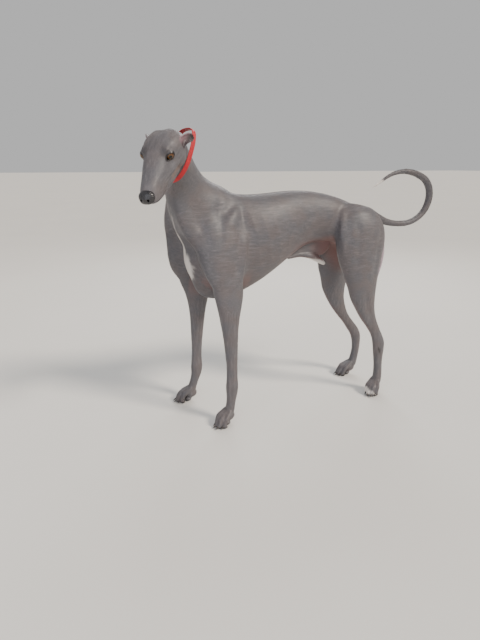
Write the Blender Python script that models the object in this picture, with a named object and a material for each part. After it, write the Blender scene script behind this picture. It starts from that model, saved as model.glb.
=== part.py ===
import math
from collections import Counter
import bpy
import bmesh
import numpy as np
from mathutils import Matrix, Vector
from mathutils.bvhtree import BVHTree

# A life-size greyhound standing on its four feet, its head turned to its left and its tail curled.
# Metres. It faces -Y, its left side is +X and the floor is z = 0. The dog is modelled with y = 0
# midway between the fore feet, and the last step centres it on the origin.

# Grain of the modelling stages: a stage is remeshed at its grain, then relaxed.
massGrain = 0.0060
limbGrain = 0.0036
skinGrain = 0.0024
massRounds = 22
limbRounds = 10
headRounds = 9
skinRounds = 3

gap = 0.0003              # left between touching sub-parts
facesKept = 0.0168        # share of the fine skin's faces that stays
keepStrength = 0.012      # how strongly the held places keep their faces
headHeld = 0.5            # share of that strength on the head
feetHeld = 0.1            # and on the feet
coatColour = (0.19, 0.17, 0.165, 1.0)

# Trunk stations from rump to forechest: y, top, bottom, half width, height of the widest line
trunkStations = [
    (0.632, 0.622, 0.556, 0.024, 0.588),
    (0.600, 0.648, 0.535, 0.046, 0.594),
    (0.550, 0.679, 0.533, 0.058, 0.612),
    (0.500, 0.702, 0.545, 0.060, 0.628),
    (0.450, 0.719, 0.560, 0.056, 0.640),
    (0.400, 0.730, 0.561, 0.054, 0.645),
    (0.350, 0.736, 0.548, 0.058, 0.642),
    (0.300, 0.737, 0.517, 0.068, 0.630),
    (0.250, 0.733, 0.482, 0.079, 0.615),
    (0.200, 0.729, 0.450, 0.086, 0.600),
    (0.150, 0.727, 0.424, 0.086, 0.588),
    (0.100, 0.731, 0.404, 0.078, 0.572),
    (0.050, 0.729, 0.396, 0.066, 0.560),
    (0.000, 0.700, 0.404, 0.056, 0.550),
    (-0.028, 0.660, 0.430, 0.046, 0.545),
    (-0.044, 0.610, 0.480, 0.030, 0.545),
]

# Neck from inside the chest to the skull: centre x, y, z, half width, half depth behind, half depth in
# front, and its turn to the left in degrees
neckStations = [
    (0.000, 0.060, 0.600, 0.058, 0.125, 0.110, 0),
    (0.000, 0.002, 0.672, 0.062, 0.110, 0.106, 5),
    (0.004, -0.047, 0.738, 0.056, 0.072, 0.076, 18),
    (0.030, -0.073, 0.784, 0.051, 0.060, 0.060, 30),
    (0.070, -0.097, 0.824, 0.046, 0.057, 0.050, 41),
    (0.108, -0.116, 0.853, 0.042, 0.050, 0.046, 47),
    (0.140, -0.130, 0.872, 0.037, 0.036, 0.038, 50),
]

# Tail, centre line from the croup to the tip, with its radius
tailStations = [
    (0.000, 0.560, 0.660, 0.024),
    (0.000, 0.603, 0.650, 0.0225),
    (0.000, 0.643, 0.634, 0.0175),
    (0.000, 0.685, 0.618, 0.0135),
    (0.000, 0.740, 0.609, 0.0118),
    (0.000, 0.785, 0.611, 0.0118),
    (0.000, 0.821, 0.624, 0.0122),
    (0.000, 0.852, 0.651, 0.0130),
    (0.000, 0.868, 0.689, 0.0136),
    (0.000, 0.865, 0.727, 0.0138),
    (0.000, 0.843, 0.759, 0.0134),
    (0.000, 0.806, 0.778, 0.0126),
    (0.000, 0.764, 0.788, 0.0112),
    (0.000, 0.724, 0.787, 0.0095),
    (0.000, 0.690, 0.778, 0.0082),
    (0.000, 0.656, 0.760, 0.0070),
    (0.000, 0.628, 0.742, 0.0050),
    (0.000, 0.612, 0.732, 0.0028),
]

# Limbs of the left side, level by level: z, front y, back y, centre x, half width
shoulderLevels = [
    (0.660, -0.020, 0.110, 0.048, 0.024),
    (0.625, -0.042, 0.122, 0.058, 0.030),
    (0.580, -0.045, 0.122, 0.066, 0.033),
    (0.530, -0.035, 0.112, 0.073, 0.033),
    (0.485, -0.017, 0.107, 0.079, 0.031),
    (0.445, 0.002, 0.103, 0.085, 0.027),
    (0.415, 0.014, 0.096, 0.089, 0.025),
]
foreLevels = [
    (0.445, 0.002, 0.103, 0.085, 0.026),
    (0.415, 0.008, 0.099, 0.090, 0.0255),
    (0.385, 0.014, 0.092, 0.094, 0.0245),
    (0.345, 0.021, 0.083, 0.097, 0.0225),
    (0.300, 0.028, 0.080, 0.099, 0.0195),
    (0.250, 0.033, 0.078, 0.101, 0.0165),
    (0.200, 0.037, 0.077, 0.102, 0.0145),
    (0.160, 0.037, 0.077, 0.102, 0.0150),
    (0.130, 0.035, 0.079, 0.102, 0.0170),
    (0.105, 0.036, 0.076, 0.102, 0.0160),
    (0.080, 0.036, 0.070, 0.102, 0.0150),
    (0.055, 0.032, 0.066, 0.103, 0.0165),
    (0.035, 0.026, 0.062, 0.103, 0.0170),
]
thighLevels = [
    (0.672, 0.480, 0.590, 0.046, 0.034),
    (0.640, 0.455, 0.618, 0.055, 0.043),
    (0.600, 0.440, 0.632, 0.062, 0.047),
    (0.550, 0.440, 0.631, 0.069, 0.046),
    (0.500, 0.448, 0.617, 0.076, 0.041),
    (0.455, 0.466, 0.607, 0.081, 0.035),
    (0.410, 0.486, 0.600, 0.085, 0.029),
]
hindLevels = [
    (0.455, 0.466, 0.606, 0.081, 0.034),
    (0.410, 0.486, 0.600, 0.085, 0.028),
    (0.370, 0.499, 0.598, 0.087, 0.024),
    (0.335, 0.519, 0.600, 0.088, 0.019),
    (0.300, 0.541, 0.609, 0.088, 0.0150),
    (0.260, 0.573, 0.627, 0.088, 0.0120),
    (0.225, 0.596, 0.646, 0.088, 0.0125),
    (0.195, 0.606, 0.658, 0.088, 0.0150),
    (0.170, 0.611, 0.657, 0.088, 0.0165),
    (0.140, 0.616, 0.655, 0.088, 0.0150),
    (0.100, 0.621, 0.656, 0.088, 0.0140),
    (0.060, 0.621, 0.658, 0.088, 0.0160),
    (0.035, 0.614, 0.656, 0.088, 0.0170),
]

# How far the right limbs stand behind the left ones: z, change of y
foreStride = [(0.70, 0.0), (0.62, -0.035), (0.56, -0.062), (0.49, -0.065), (0.445, -0.058), (0.40, -0.046),
              (0.345, -0.045), (0.20, -0.055), (0.105, -0.058), (0.055, -0.067), (0.0, -0.070)]
hindStride = [(0.46, 0.0), (0.41, -0.005), (0.335, -0.010), (0.26, -0.012), (0.225, -0.004), (0.195, 0.008),
              (0.168, 0.022), (0.14, 0.026), (0.10, 0.023), (0.06, 0.014), (0.0, 0.006)]

# Feet: where the pads stand, and how far each foot turns outwards, in degrees
feet = {
    "leg_fore_left": (0.103, 0.043, 24),
    "leg_fore_right": (-0.103, -0.026, 4),
    "leg_hind_left": (0.088, 0.632, 36),
    "leg_hind_right": (-0.088, 0.636, 4),
}
# Toes from the inner to the outer: sideways place, reach forward
toes = [(-0.0185, 0.036), (-0.0065, 0.048), (0.0065, 0.048), (0.0185, 0.035)]

# Head, in its own frame: origin midway between the eyes, it faces -y, its left is +x
headPlace = (0.185, -0.169, 0.832)
headYaw = 49              # degrees to the dog's left
headPitch = 41            # degrees nose down
eyeCentre = (0.0340, 0.0035, 0.0015)
eyeRadius = 0.0124
eyeOut = 32               # degrees that an eye looks outwards
eyeOpening = (0.0114, 0.0074)   # half width and half height between the lids
lidThickness = 0.0017

# Skull and upper jaw: y, top, bottom, half width, height of the widest line
skullStations = [
    (0.106, -0.014, -0.036, 0.024, -0.022),
    (0.093, 0.003, -0.044, 0.036, -0.014),
    (0.075, 0.018, -0.052, 0.045, -0.006),
    (0.050, 0.028, -0.056, 0.0500, -0.002),
    (0.025, 0.032, -0.058, 0.0490, -0.006),
    (0.002, 0.029, -0.059, 0.0415, -0.012),
    (-0.018, 0.020, -0.060, 0.0360, -0.019),
    (-0.038, 0.011, -0.061, 0.0345, -0.026),
    (-0.058, 0.003, -0.062, 0.0315, -0.033),
    (-0.078, -0.004, -0.063, 0.0285, -0.038),
    (-0.095, -0.011, -0.062, 0.0255, -0.040),
    (-0.104, -0.018, -0.058, 0.0215, -0.039),
]
# Lower jaw in the same columns
jawStations = [
    (0.065, -0.010, -0.062, 0.036, -0.034),
    (0.040, -0.018, -0.076, 0.040, -0.042),
    (0.010, -0.028, -0.081, 0.0365, -0.050),
    (-0.020, -0.036, -0.080, 0.0310, -0.056),
    (-0.050, -0.040, -0.077, 0.0255, -0.058),
    (-0.075, -0.042, -0.0735, 0.0205, -0.058),
    (-0.090, -0.044, -0.0700, 0.0165, -0.057),
    (-0.098, -0.047, -0.0660, 0.0115, -0.056),
]
# Nose leather from its back to its front: y, z, half width, up, down
noseStations = [
    (-0.098, -0.029, 0.0165, 0.0105, 0.0110),
    (-0.106, -0.030, 0.0205, 0.0130, 0.0150),
    (-0.114, -0.032, 0.0200, 0.0125, 0.0150),
    (-0.120, -0.034, 0.0160, 0.0090, 0.0110),
]
# A nostril on the left: x, y, z, radius
nostrilStations = [
    (0.0070, -0.1120, -0.0310, 0.0022),
    (0.0085, -0.1215, -0.0310, 0.0034),
    (0.0125, -0.1240, -0.0300, 0.0032),
    (0.0190, -0.1190, -0.0325, 0.0020),
]
# Line between the lips on the left, from the front to the corner
lipLine = [(0.0, -0.1060, -0.0545), (0.0115, -0.1030, -0.0550), (0.0205, -0.0900, -0.0555),
           (0.0265, -0.0660, -0.0555), (0.0320, -0.0400, -0.0535), (0.0370, -0.0160, -0.0490),
           (0.0400, -0.0020, -0.0450)]
lipCut = 0.0010           # opening of the line between the lips
lipDepth = 0.0050
lipReach = 0.0120         # how far its blade stands out of the skin

# Left ear from its root to its tip: x, y, z, half width, how far it curls (degrees)
earStations = [
    (0.034, 0.048, -0.016, 0.0085, 84),
    (0.0425, 0.056, -0.008, 0.0105, 88),
    (0.0490, 0.066, -0.005, 0.0115, 86),
    (0.0530, 0.077, -0.009, 0.0110, 80),
    (0.0540, 0.088, -0.018, 0.0095, 70),
    (0.0525, 0.096, -0.028, 0.0068, 58),
    (0.0500, 0.101, -0.037, 0.0038, 44),
    (0.0485, 0.103, -0.041, 0.0020, 34),
]
earFacing = (0.72, -0.58, 0.38)
earThickness = 0.0030

# Collar: a ring whose plane holds its top behind the head and its lowest point at the throat
collarTop = (0.075, -0.059, 0.900)
collarThroat = (0.101, -0.106, 0.772)
collarSide = (0.95, 0.31, 0.0)
collarHalfWidth = 0.0430
collarPowers = (2.1, 3.5)       # roundness towards the throat, squareness behind the head
collarBand = (0.0130, 0.0025)   # width along the neck, thickness
collarClear = 0.0016      # kept from the skin
collarSides = 40
castFrom = 0.16           # where its rays to the skin start, from its middle

# Where the body is parted. Limbs: a line (x, z) up their inner side and a span of y
foreRegion = (((0.045, 0.410), (0.100, 0.560)), (-0.16, 0.26))
hindRegion = (((0.020, 0.490), (0.110, 0.660)), (0.36, 0.80))
regions = {"leg_fore_left": foreRegion, "leg_fore_right": foreRegion,
           "leg_hind_left": hindRegion, "leg_hind_right": hindRegion}
# Neck and tail: a place and a direction outwards
neckBase = ((0.0, -0.045, 0.735), (0.10, -0.45, 0.88))
tailBase = ((0.0, 0.668, 0.624), (0.0, 0.94, -0.34))
tailBend = ((0.0, 0.852, 0.651), (0.0, 0.40, 0.90))
tailTurn = ((0.0, 0.843, 0.759), (0.0, -0.80, 0.60))
headAhead = 0.014         # from the collar's middle to the cut between head and neck

# Sheath under the belly, centre line with its radius
sheathStations = [
    (0.000, 0.300, 0.515, 0.0060),
    (0.000, 0.345, 0.522, 0.0090),
    (0.000, 0.390, 0.514, 0.0120),
    (0.000, 0.420, 0.498, 0.0110),
    (0.000, 0.436, 0.487, 0.0075),
]


def smoothRows(rows, perSpan):
    # finer rows on a smooth curve through the given ones, spaced by the way between their centres
    rows = np.array(rows, float)
    way = np.linalg.norm(np.diff(rows[:, :3], axis=0), axis=1)
    at = np.concatenate([[0.0], np.cumsum(way)])
    slope = np.gradient(rows, at, axis=0)
    fine = []
    for i in range(len(rows) - 1):
        span = at[i + 1] - at[i]
        for t in np.linspace(0.0, 1.0, perSpan, endpoint=False):
            a = 2 * t ** 3 - 3 * t ** 2 + 1
            b = t ** 3 - 2 * t ** 2 + t
            c = t ** 3 - t ** 2
            fine.append(a * rows[i] + (1 - a) * rows[i + 1] + span * (b * slope[i] + c * slope[i + 1]))
    fine.append(rows[-1])
    return np.array(fine)


def loft(stations, side=(1, 0, 0), up=None, powers=(2.0, 2.0), perSpan=4, sides=24, rounding=(0.6, 0.6),
         capAngles=(30, 55, 75)):
    # stations: x, y, z, half width, half height up, half height down; the ends are rounded off
    rows = smoothRows(stations, perSpan)
    turns = np.radians(rows[:, 6]) if rows.shape[1] > 6 else np.zeros(len(rows))
    side = np.array(side, float) / np.linalg.norm(side)
    across = [np.array(Matrix.Rotation(turn, 3, "Z") @ Vector(side)) for turn in turns]
    centres = rows[:, :3]
    tangents = np.gradient(centres, axis=0)
    tangents /= np.linalg.norm(tangents, axis=1)[:, None]
    if up is None:
        ups = np.cross(tangents, across)
        ups /= np.linalg.norm(ups, axis=1)[:, None]
    else:
        ups = np.tile(np.array(up, float) / np.linalg.norm(up), (len(rows), 1))
    sections = [(centres[i], across[i], ups[i], rows[i, 3:6]) for i in range(len(rows))]
    for end, turn in ((0, -1.0), (-1, 1.0)):
        reach = rounding[0 if end == 0 else 1] * min(rows[end, 3:6])
        for angle in capAngles:
            lean = math.radians(angle)
            centre = centres[end] + turn * tangents[end] * reach * math.sin(lean)
            ring = (centre, across[end], ups[end], rows[end, 3:6] * math.cos(lean))
            sections = [ring] + sections if end == 0 else sections + [ring]
    angles = np.linspace(0.0, 2 * math.pi, sides, endpoint=False)
    cosines, sines = np.cos(angles), np.sin(angles)
    power = np.where(sines > 0, powers[0], powers[1])
    wideness = np.sign(cosines) * np.abs(cosines) ** (2 / power)
    tallness = np.sign(sines) * np.abs(sines) ** (2 / power)
    points = []
    for centre, sideways, normal, (wide, high, low) in sections:
        reach = np.where(tallness > 0, high, low)
        points.append(centre + np.outer(wideness * wide, sideways) + np.outer(tallness * reach, normal))
    points = np.concatenate(points)
    count = len(sections)
    faces = []
    for i in range(count - 1):
        for k in range(sides):
            n = (k + 1) % sides
            faces.append((i * sides + k, i * sides + n, (i + 1) * sides + n, (i + 1) * sides + k))
    faces.append(tuple(range(sides - 1, -1, -1)))
    faces.append(tuple((count - 1) * sides + k for k in range(sides)))
    return points, faces


def levels(rows, powers=(2.0, 2.0), rounding=(0.3, 0.3)):
    # a limb cut level by level: z, front y, back y, centre x, half width
    stations = [(x, (front + back) / 2, z, wide, (back - front) / 2, (back - front) / 2)
                for z, front, back, x, wide in rows]
    return loft(stations, up=(0, -1, 0), powers=powers, rounding=rounding)


def tube(stations, side=(1, 0, 0), flat=1.0, perSpan=4, sides=16, capAngles=(30, 55, 75)):
    # stations: x, y, z, radius; flat narrows or widens it across
    return loft([(x, y, z, r * flat, r, r) for x, y, z, r in stations], side=side, perSpan=perSpan,
                sides=sides, rounding=(1.0, 1.0), capAngles=capAngles)


def muscle(start, belly, end, wide, thick, outward=(1, 0, 0), tip=0.30):
    # a spindle from start through belly to end, wide along the skin and thick across it
    start, belly, end = (np.array(p, float) for p in (start, belly, end))
    middle = 2 * belly - (start + end) / 2
    rows = []
    for t in np.linspace(0.0, 1.0, 9):
        centre = (1 - t) ** 2 * start + 2 * t * (1 - t) * middle + t ** 2 * end
        fullness = tip + (1 - tip) * math.sin(math.pi * t) ** 0.9
        rows.append((*centre, wide * fullness, thick * fullness, thick * fullness))
    across = np.cross(np.array(outward, float), end - start)
    return loft(rows, side=across, perSpan=2, sides=16)


def ball(centre, radii, axes=None, sides=16, rings=10):
    # an ellipsoid, with its axes as three rows
    axes = np.eye(3) if axes is None else np.array(axes, float)
    points = [np.array([0.0, 0.0, 1.0])]
    for i in range(1, rings):
        tilt = math.pi * i / rings
        for k in range(sides):
            turn = 2 * math.pi * k / sides
            points.append(np.array([math.sin(tilt) * math.cos(turn), math.sin(tilt) * math.sin(turn),
                                    math.cos(tilt)]))
    points.append(np.array([0.0, 0.0, -1.0]))
    points = np.array(points) * np.array(radii) @ axes + np.array(centre)
    faces = [(0, 1 + k, 1 + (k + 1) % sides) for k in range(sides)]
    for i in range(rings - 2):
        a, b = 1 + i * sides, 1 + (i + 1) * sides
        faces += [(a + k, b + k, b + (k + 1) % sides, a + (k + 1) % sides) for k in range(sides)]
    last = 1 + (rings - 2) * sides
    faces += [(last + k, len(points) - 1, last + (k + 1) % sides) for k in range(sides)]
    return points, faces


def mirrored(shell):
    points, faces = shell
    return points * np.array([-1, 1, 1]), [face[::-1] for face in faces]


def gathered(shells):
    points, faces, start = [], [], 0
    for shellPoints, shellFaces in shells:
        points.append(shellPoints)
        faces += [tuple(int(v) + start for v in face) for face in shellFaces]
        start += len(shellPoints)
    return np.concatenate(points), faces


def asObject(name, shell):
    mesh = bpy.data.meshes.new(name)
    mesh.from_pydata(shell[0].tolist(), [], [tuple(int(v) for v in face) for face in shell[1]])
    mesh.update()
    obj = bpy.data.objects.new(name, mesh)
    bpy.context.scene.collection.objects.link(obj)
    return obj


def asShell(obj):
    depsgraph = bpy.context.evaluated_depsgraph_get()
    mesh = obj.evaluated_get(depsgraph).to_mesh()
    points = np.empty(len(mesh.vertices) * 3)
    mesh.vertices.foreach_get("co", points)
    faces = [tuple(face.vertices) for face in mesh.polygons]
    return points.reshape(-1, 3), faces


def discard(obj):
    mesh = obj.data
    bpy.data.objects.remove(obj)
    bpy.data.meshes.remove(mesh)


def fused(shells, grain):
    # one skin round all the shells, in squares of about the grain
    obj = asObject("clay", gathered(shells))
    remesh = obj.modifiers.new("Remesh", "REMESH")
    remesh.mode = "VOXEL"
    remesh.voxel_size = grain
    shell = asShell(obj)
    discard(obj)
    return shell


def relaxed(shell, rounds, hold=None):
    # each point moves half way to the mean of its neighbours, less where hold is near 1
    points, faces = shell[0].copy(), shell[1]
    pairs = np.array([(face[i - 1], face[i]) for face in faces for i in range(len(face))])
    pairs = np.concatenate([pairs, pairs[:, ::-1]])
    count = np.bincount(pairs[:, 0], minlength=len(points))
    move = 0.5 if hold is None else 0.5 * (1 - hold)[:, None]
    for _ in range(rounds):
        mean = np.stack([np.bincount(pairs[:, 0], points[pairs[:, 1], k],
                                     len(points)) for k in range(3)], axis=1)
        points += move * (mean / count[:, None] - points)
    return points, faces


def trunk():
    stations = [(0, y, widest, wide, top - widest, widest - bottom)
                for y, top, bottom, wide, widest in trunkStations]
    return loft(stations, up=(0, 0, 1), powers=(1.9, 1.75), sides=32)


def neck():
    return loft(neckStations, sides=28)


def strided(rows, stride):
    # the right limb: the left one's levels, moved along y
    heights = [z for z, change in stride][::-1]
    changes = [change for z, change in stride][::-1]
    rows = [(z, front + np.interp(z, heights, changes), back + np.interp(z, heights, changes), x, wide)
            for z, front, back, x, wide in rows]
    return rows


def pair(rows, stride, **options):
    # a left limb and its right partner
    return [levels(rows, **options), mirrored(levels(strided(rows, stride), **options))]


def bothMuscles(stride, start, belly, end, wide, thick, outward=(1, 0, 0), tip=0.30):
    # a muscle on the left and its partner, moved with the right limb
    heights = [z for z, change in stride][::-1]
    changes = [change for z, change in stride][::-1]
    moved = [(x, y + np.interp(z, heights, changes), z) for x, y, z in (start, belly, end)]
    return [muscle(start, belly, end, wide, thick, outward, tip),
            mirrored(muscle(*moved, wide, thick, outward, tip))]


def massForms():
    forms = [trunk(), neck()]
    forms += pair(shoulderLevels, foreStride)
    forms += pair(thighLevels, hindStride)
    # from behind the jaw down the front of the neck to the point of the shoulder
    forms += bothMuscles(foreStride, (0.030, -0.075, 0.770), (0.046, -0.066, 0.670), (0.068, -0.030, 0.560),
                         0.030, 0.022)
    return forms


def reliefForms():
    # muscles and bones that show under the skin
    fore, hind = foreStride, hindStride
    forms = []
    # front and back of the shoulder blade, the arm's long head and its side head
    forms += bothMuscles(fore, (0.032, 0.066, 0.700), (0.062, 0.014, 0.645), (0.082, -0.012, 0.570),
                         0.026, 0.0115)
    forms += bothMuscles(fore, (0.040, 0.110, 0.695), (0.070, 0.070, 0.640), (0.090, 0.022, 0.565),
                         0.026, 0.0115)
    forms += bothMuscles(fore, (0.066, 0.116, 0.640), (0.084, 0.094, 0.560), (0.093, 0.082, 0.440),
                         0.022, 0.014)
    forms += bothMuscles(fore, (0.080, 0.045, 0.590), (0.092, 0.056, 0.520), (0.096, 0.070, 0.440),
                         0.024, 0.013)
    # upper arm down to the forearm
    forms += bothMuscles(fore, (0.078, -0.018, 0.555), (0.085, 0.002, 0.500), (0.096, 0.030, 0.430),
                         0.022, 0.016)
    # muscles on the outside of the forearm
    forms += bothMuscles(fore, (0.102, 0.030, 0.430), (0.107, 0.040, 0.370), (0.107, 0.048, 0.270),
                         0.014, 0.011)
    forms += bothMuscles(fore, (0.098, 0.078, 0.415), (0.103, 0.071, 0.360), (0.103, 0.066, 0.270),
                         0.013, 0.011)
    # hip, front and back of the thigh, calf
    forms += bothMuscles(hind, (0.030, 0.470, 0.680), (0.056, 0.530, 0.650), (0.078, 0.590, 0.600),
                         0.036, 0.0125)
    forms += bothMuscles(hind, (0.052, 0.470, 0.670), (0.080, 0.466, 0.590), (0.090, 0.474, 0.500),
                         0.024, 0.014)
    forms += bothMuscles(hind, (0.078, 0.550, 0.640), (0.100, 0.545, 0.550), (0.100, 0.540, 0.440),
                         0.036, 0.014)
    forms += bothMuscles(hind, (0.052, 0.612, 0.600), (0.074, 0.612, 0.530), (0.090, 0.588, 0.420),
                         0.018, 0.016)
    return forms


def footForms(name):
    x, y, turn = feet[name]
    side = 1 if "left" in name else -1
    forms = []
    for across, reach in toes:
        path = [(across * 0.55, 0.004, 0.052, 0.0078), (across * 0.85, reach * -0.40, 0.040, 0.0082),
                (across, reach * -0.70, 0.033, 0.0086), (across, reach * -0.90, 0.021, 0.0078),
                (across, -reach, 0.0090, 0.0074)]
        forms.append(tube(path, perSpan=3, sides=12))
        forms.append(ball((across, -reach + 0.004, 0.0058), (0.0068, 0.0085, 0.0062)))
    forms.append(ball((0, 0.000, 0.030), (0.0185, 0.0240, 0.0190)))
    forms.append(ball((0, -0.010, 0.0085), (0.0160, 0.0140, 0.0088)))
    turned = Matrix.Rotation(math.radians(turn), 3, "Z")
    forms = [(points @ np.array(turned).T, faces) for points, faces in forms]
    if side < 0:
        forms = [mirrored(form) for form in forms]
    return [(points + np.array((x, y, 0.0)), faces) for points, faces in forms]


def limbForms():
    return pair(foreLevels, foreStride) + pair(hindLevels, hindStride) + [tube(tailStations)]


def headFrame():
    turn = Matrix.Rotation(math.radians(headYaw), 3, "Z") @ Matrix.Rotation(math.radians(headPitch), 3, "X")
    return np.array(turn), np.array(headPlace)


def onHead(shell):
    turn, place = headFrame()
    return shell[0] @ turn.T + place, shell[1]


def bothSides(forms):
    return forms + [mirrored(form) for form in forms]


def headForms():
    skull = [(0, y, widest, wide, top - widest, widest - bottom) for y, top, bottom, wide,
             widest in skullStations]
    jaw = [(0, y, widest, wide, top - widest, widest - bottom) for y, top, bottom, wide,
           widest in jawStations]
    forms = [loft(skull, up=(0, 0, 1), powers=(2.1, 2.6), sides=28, rounding=(0.8, 0.7)),
             loft(jaw, up=(0, 0, 1), powers=(2.0, 2.0), sides=24, rounding=(0.5, 0.9))]
    forms += bothSides([
        ball((0.037, 0.042, -0.032), (0.0125, 0.034, 0.028)),
        muscle((0.026, -0.040, -0.030), (0.0385, 0.000, -0.026), (0.045, 0.060, -0.012), 0.0110,
               0.0085, tip=0.7),
        ball((0.0275, 0.010, 0.014), (0.013, 0.020, 0.0105)),
        ball((0.023, 0.052, 0.002), (0.020, 0.036, 0.0200)),
    ])
    return forms


def headSkin():
    points, faces = relaxed(fused(headForms(), skinGrain), headRounds)
    return onHead((points, faces))


def lidForms():
    return [onHead(form) for form in bothSides([ball(eyeCentre, (eyeRadius + lidThickness,) * 3)])]


def sheathForms():
    # the sheath hangs on a thin fold from the belly
    fold = [(0.0, 0.290, 0.538, 0.0070, 0.018, 0.018), (0.0, 0.350, 0.545, 0.0060, 0.022, 0.022),
            (0.0, 0.400, 0.545, 0.0060, 0.026, 0.026), (0.0, 0.430, 0.545, 0.0060, 0.030, 0.030),
            (0.0, 0.455, 0.560, 0.0070, 0.020, 0.024)]
    return [tube(sheathStations), loft(fold, up=(0, 0, 1), sides=16)]


def bodySkin():
    body = relaxed(fused(massForms(), massGrain), massRounds)
    body = relaxed(fused([body] + reliefForms() + limbForms(), limbGrain), limbRounds)
    forms = [body, headSkin()] + lidForms() + sheathForms()
    for name in feet:
        forms += footForms(name)
    return relaxed(fused(forms, skinGrain), skinRounds)


def leaf(rows, facing, thickness, extra):
    # a curled leaf with a rim: rows of centre, half width and curl, open towards facing
    rows = smoothRows(rows, 2)
    centres = rows[:, :3].copy()
    along = np.gradient(centres, axis=0)
    along /= np.linalg.norm(along, axis=1)[:, None]
    across = np.cross(along, np.array(facing, float))
    across /= np.linalg.norm(across, axis=1)[:, None]
    inwards = np.cross(across, along)
    centres[0] -= 3 * extra * along[0]
    centres[-1] += extra * along[-1]
    spread = np.linspace(-1.0, 1.0, 8)
    sheets = []
    for offset in (0.5 * thickness + extra, -0.5 * thickness - extra):
        for i in range(len(rows)):
            curl = math.radians(rows[i, 4])
            radius = rows[i, 3] / math.sin(curl)
            angles = spread * (curl + extra / radius)
            bend = radius - offset
            sheets.append(centres[i] + np.outer(bend * np.sin(angles), across[i])
                          + np.outer(radius - bend * np.cos(angles), inwards[i]))
    points = np.concatenate(sheets)
    wide, count = len(spread), len(rows)
    back = wide * count
    faces = []
    for i in range(count - 1):
        for k in range(wide - 1):
            a = i * wide + k
            faces.append((a, a + 1, a + 1 + wide, a + wide))
            faces.append((back + a, back + a + wide, back + a + 1 + wide, back + a + 1))
        for k, turn in ((0, 1), (wide - 1, -1)):
            a = i * wide + k
            faces.append((a, a + wide, back + a + wide, back + a)[::turn])
    for k in range(wide - 1):
        last = (count - 1) * wide + k
        faces.append((k, back + k, back + k + 1, k + 1))
        faces.append((last, last + 1, back + last + 1, back + last))
    return points, faces


def ear(extra=0.0):
    # extra thickens it, to cut its place in the head
    return leaf(earStations, earFacing, earThickness, extra)


def noseLeather(extra=0.0):
    rows = [(0, y, z, wide + extra, up + extra, down + extra) for y, z, wide, up, down in noseStations]
    rows[0] = (0, rows[0][1] + extra, *rows[0][2:])
    return loft(rows, up=(0, 0, 1), powers=(2.2, 2.6), perSpan=2, sides=20, rounding=(0.3, 0.5))


def lipBlade():
    # a thin band along the line between the lips, reaching in and out of the skin
    line = [(-x, y, z) for x, y, z in lipLine[:0:-1]] + lipLine
    line = smoothRows([(*p, 0.0) for p in line], 2)[:, :3]
    way = np.gradient(line, axis=0)
    outward = np.cross(way, (0, 0, 1))
    outward /= np.linalg.norm(outward, axis=1)[:, None]
    if outward[len(line) // 2][1] > 0:
        outward = -outward
    rise = np.array((0.0, 0.0, 0.5 * lipCut))
    corners = [line - lipDepth * outward - rise, line + lipReach * outward - rise,
               line + lipReach * outward + rise, line - lipDepth * outward + rise]
    points = np.stack(corners, axis=1).reshape(-1, 3)
    faces = [tuple(4 * i + np.array(q)) for i in range(len(line) - 1)
             for q in ((0, 1, 5, 4), (1, 2, 6, 5), (2, 3, 7, 6), (3, 0, 4, 7))]
    last = 4 * (len(line) - 1)
    faces += [(3, 2, 1, 0), (last, last + 1, last + 2, last + 3)]
    return points, faces


def eyeWindow():
    # the almond between the lids of the left eye, drawn out along the eye's axis
    turn = math.radians(eyeOut)
    axis = np.array((math.sin(turn), -math.cos(turn), 0.0))
    across = np.array((math.cos(turn), math.sin(turn), 0.0))
    wide, high = eyeOpening
    outline = []
    for k in range(20):
        angle = 2 * math.pi * k / 20
        x = math.cos(angle)
        z = math.sin(angle) * abs(math.sin(angle)) ** 0.35
        outline.append(wide * x * across + np.array((0, 0, high * z + 0.0012 * x)))
    outline = np.array(outline) + np.array(eyeCentre)
    points = np.concatenate([outline, outline + 0.035 * axis])
    faces = [(k, (k + 1) % 20, 20 + (k + 1) % 20, 20 + k) for k in range(20)]
    faces += [tuple(range(19, -1, -1)), tuple(range(20, 40))]
    return points, faces


def eyeBall(extra=0.0):
    turn = math.radians(eyeOut)
    axes = ((math.cos(turn), math.sin(turn), 0), (0, 0, 1), (math.sin(turn), -math.cos(turn), 0))
    return ball(eyeCentre, (eyeRadius + extra,) * 3, axes, sides=14, rings=9)


def claws(name):
    x, y, turn = feet[name]
    side = 1 if "left" in name else -1
    forms = []
    for across, reach in toes:
        path = [(across, -reach + 0.009, 0.0100, 0.0028), (across, -reach - 0.0060, 0.0100, 0.0031),
                (across, -reach - 0.0115, 0.0072, 0.0023), (across, -reach - 0.0145, 0.0032, 0.0010)]
        forms.append(tube(path, flat=0.75, perSpan=1, sides=6, capAngles=()))
    turned = np.array(Matrix.Rotation(math.radians(turn), 3, "Z"))
    forms = [(points @ turned.T, faces) for points, faces in forms]
    if side < 0:
        forms = [mirrored(form) for form in forms]
    return [(points + np.array((x, y, 0.0)), faces) for points, faces in forms]


def collarPlane():
    top, throat = np.array(collarTop), np.array(collarThroat)
    down = (throat - top) / np.linalg.norm(throat - top)
    side = np.array(collarSide) - down * np.dot(collarSide, down)
    side /= np.linalg.norm(side)
    ahead = np.cross(side, down)
    if ahead[2] < 0:
        ahead = -ahead
    return (top + throat) / 2, down, side, ahead, np.linalg.norm(throat - top) / 2


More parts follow.
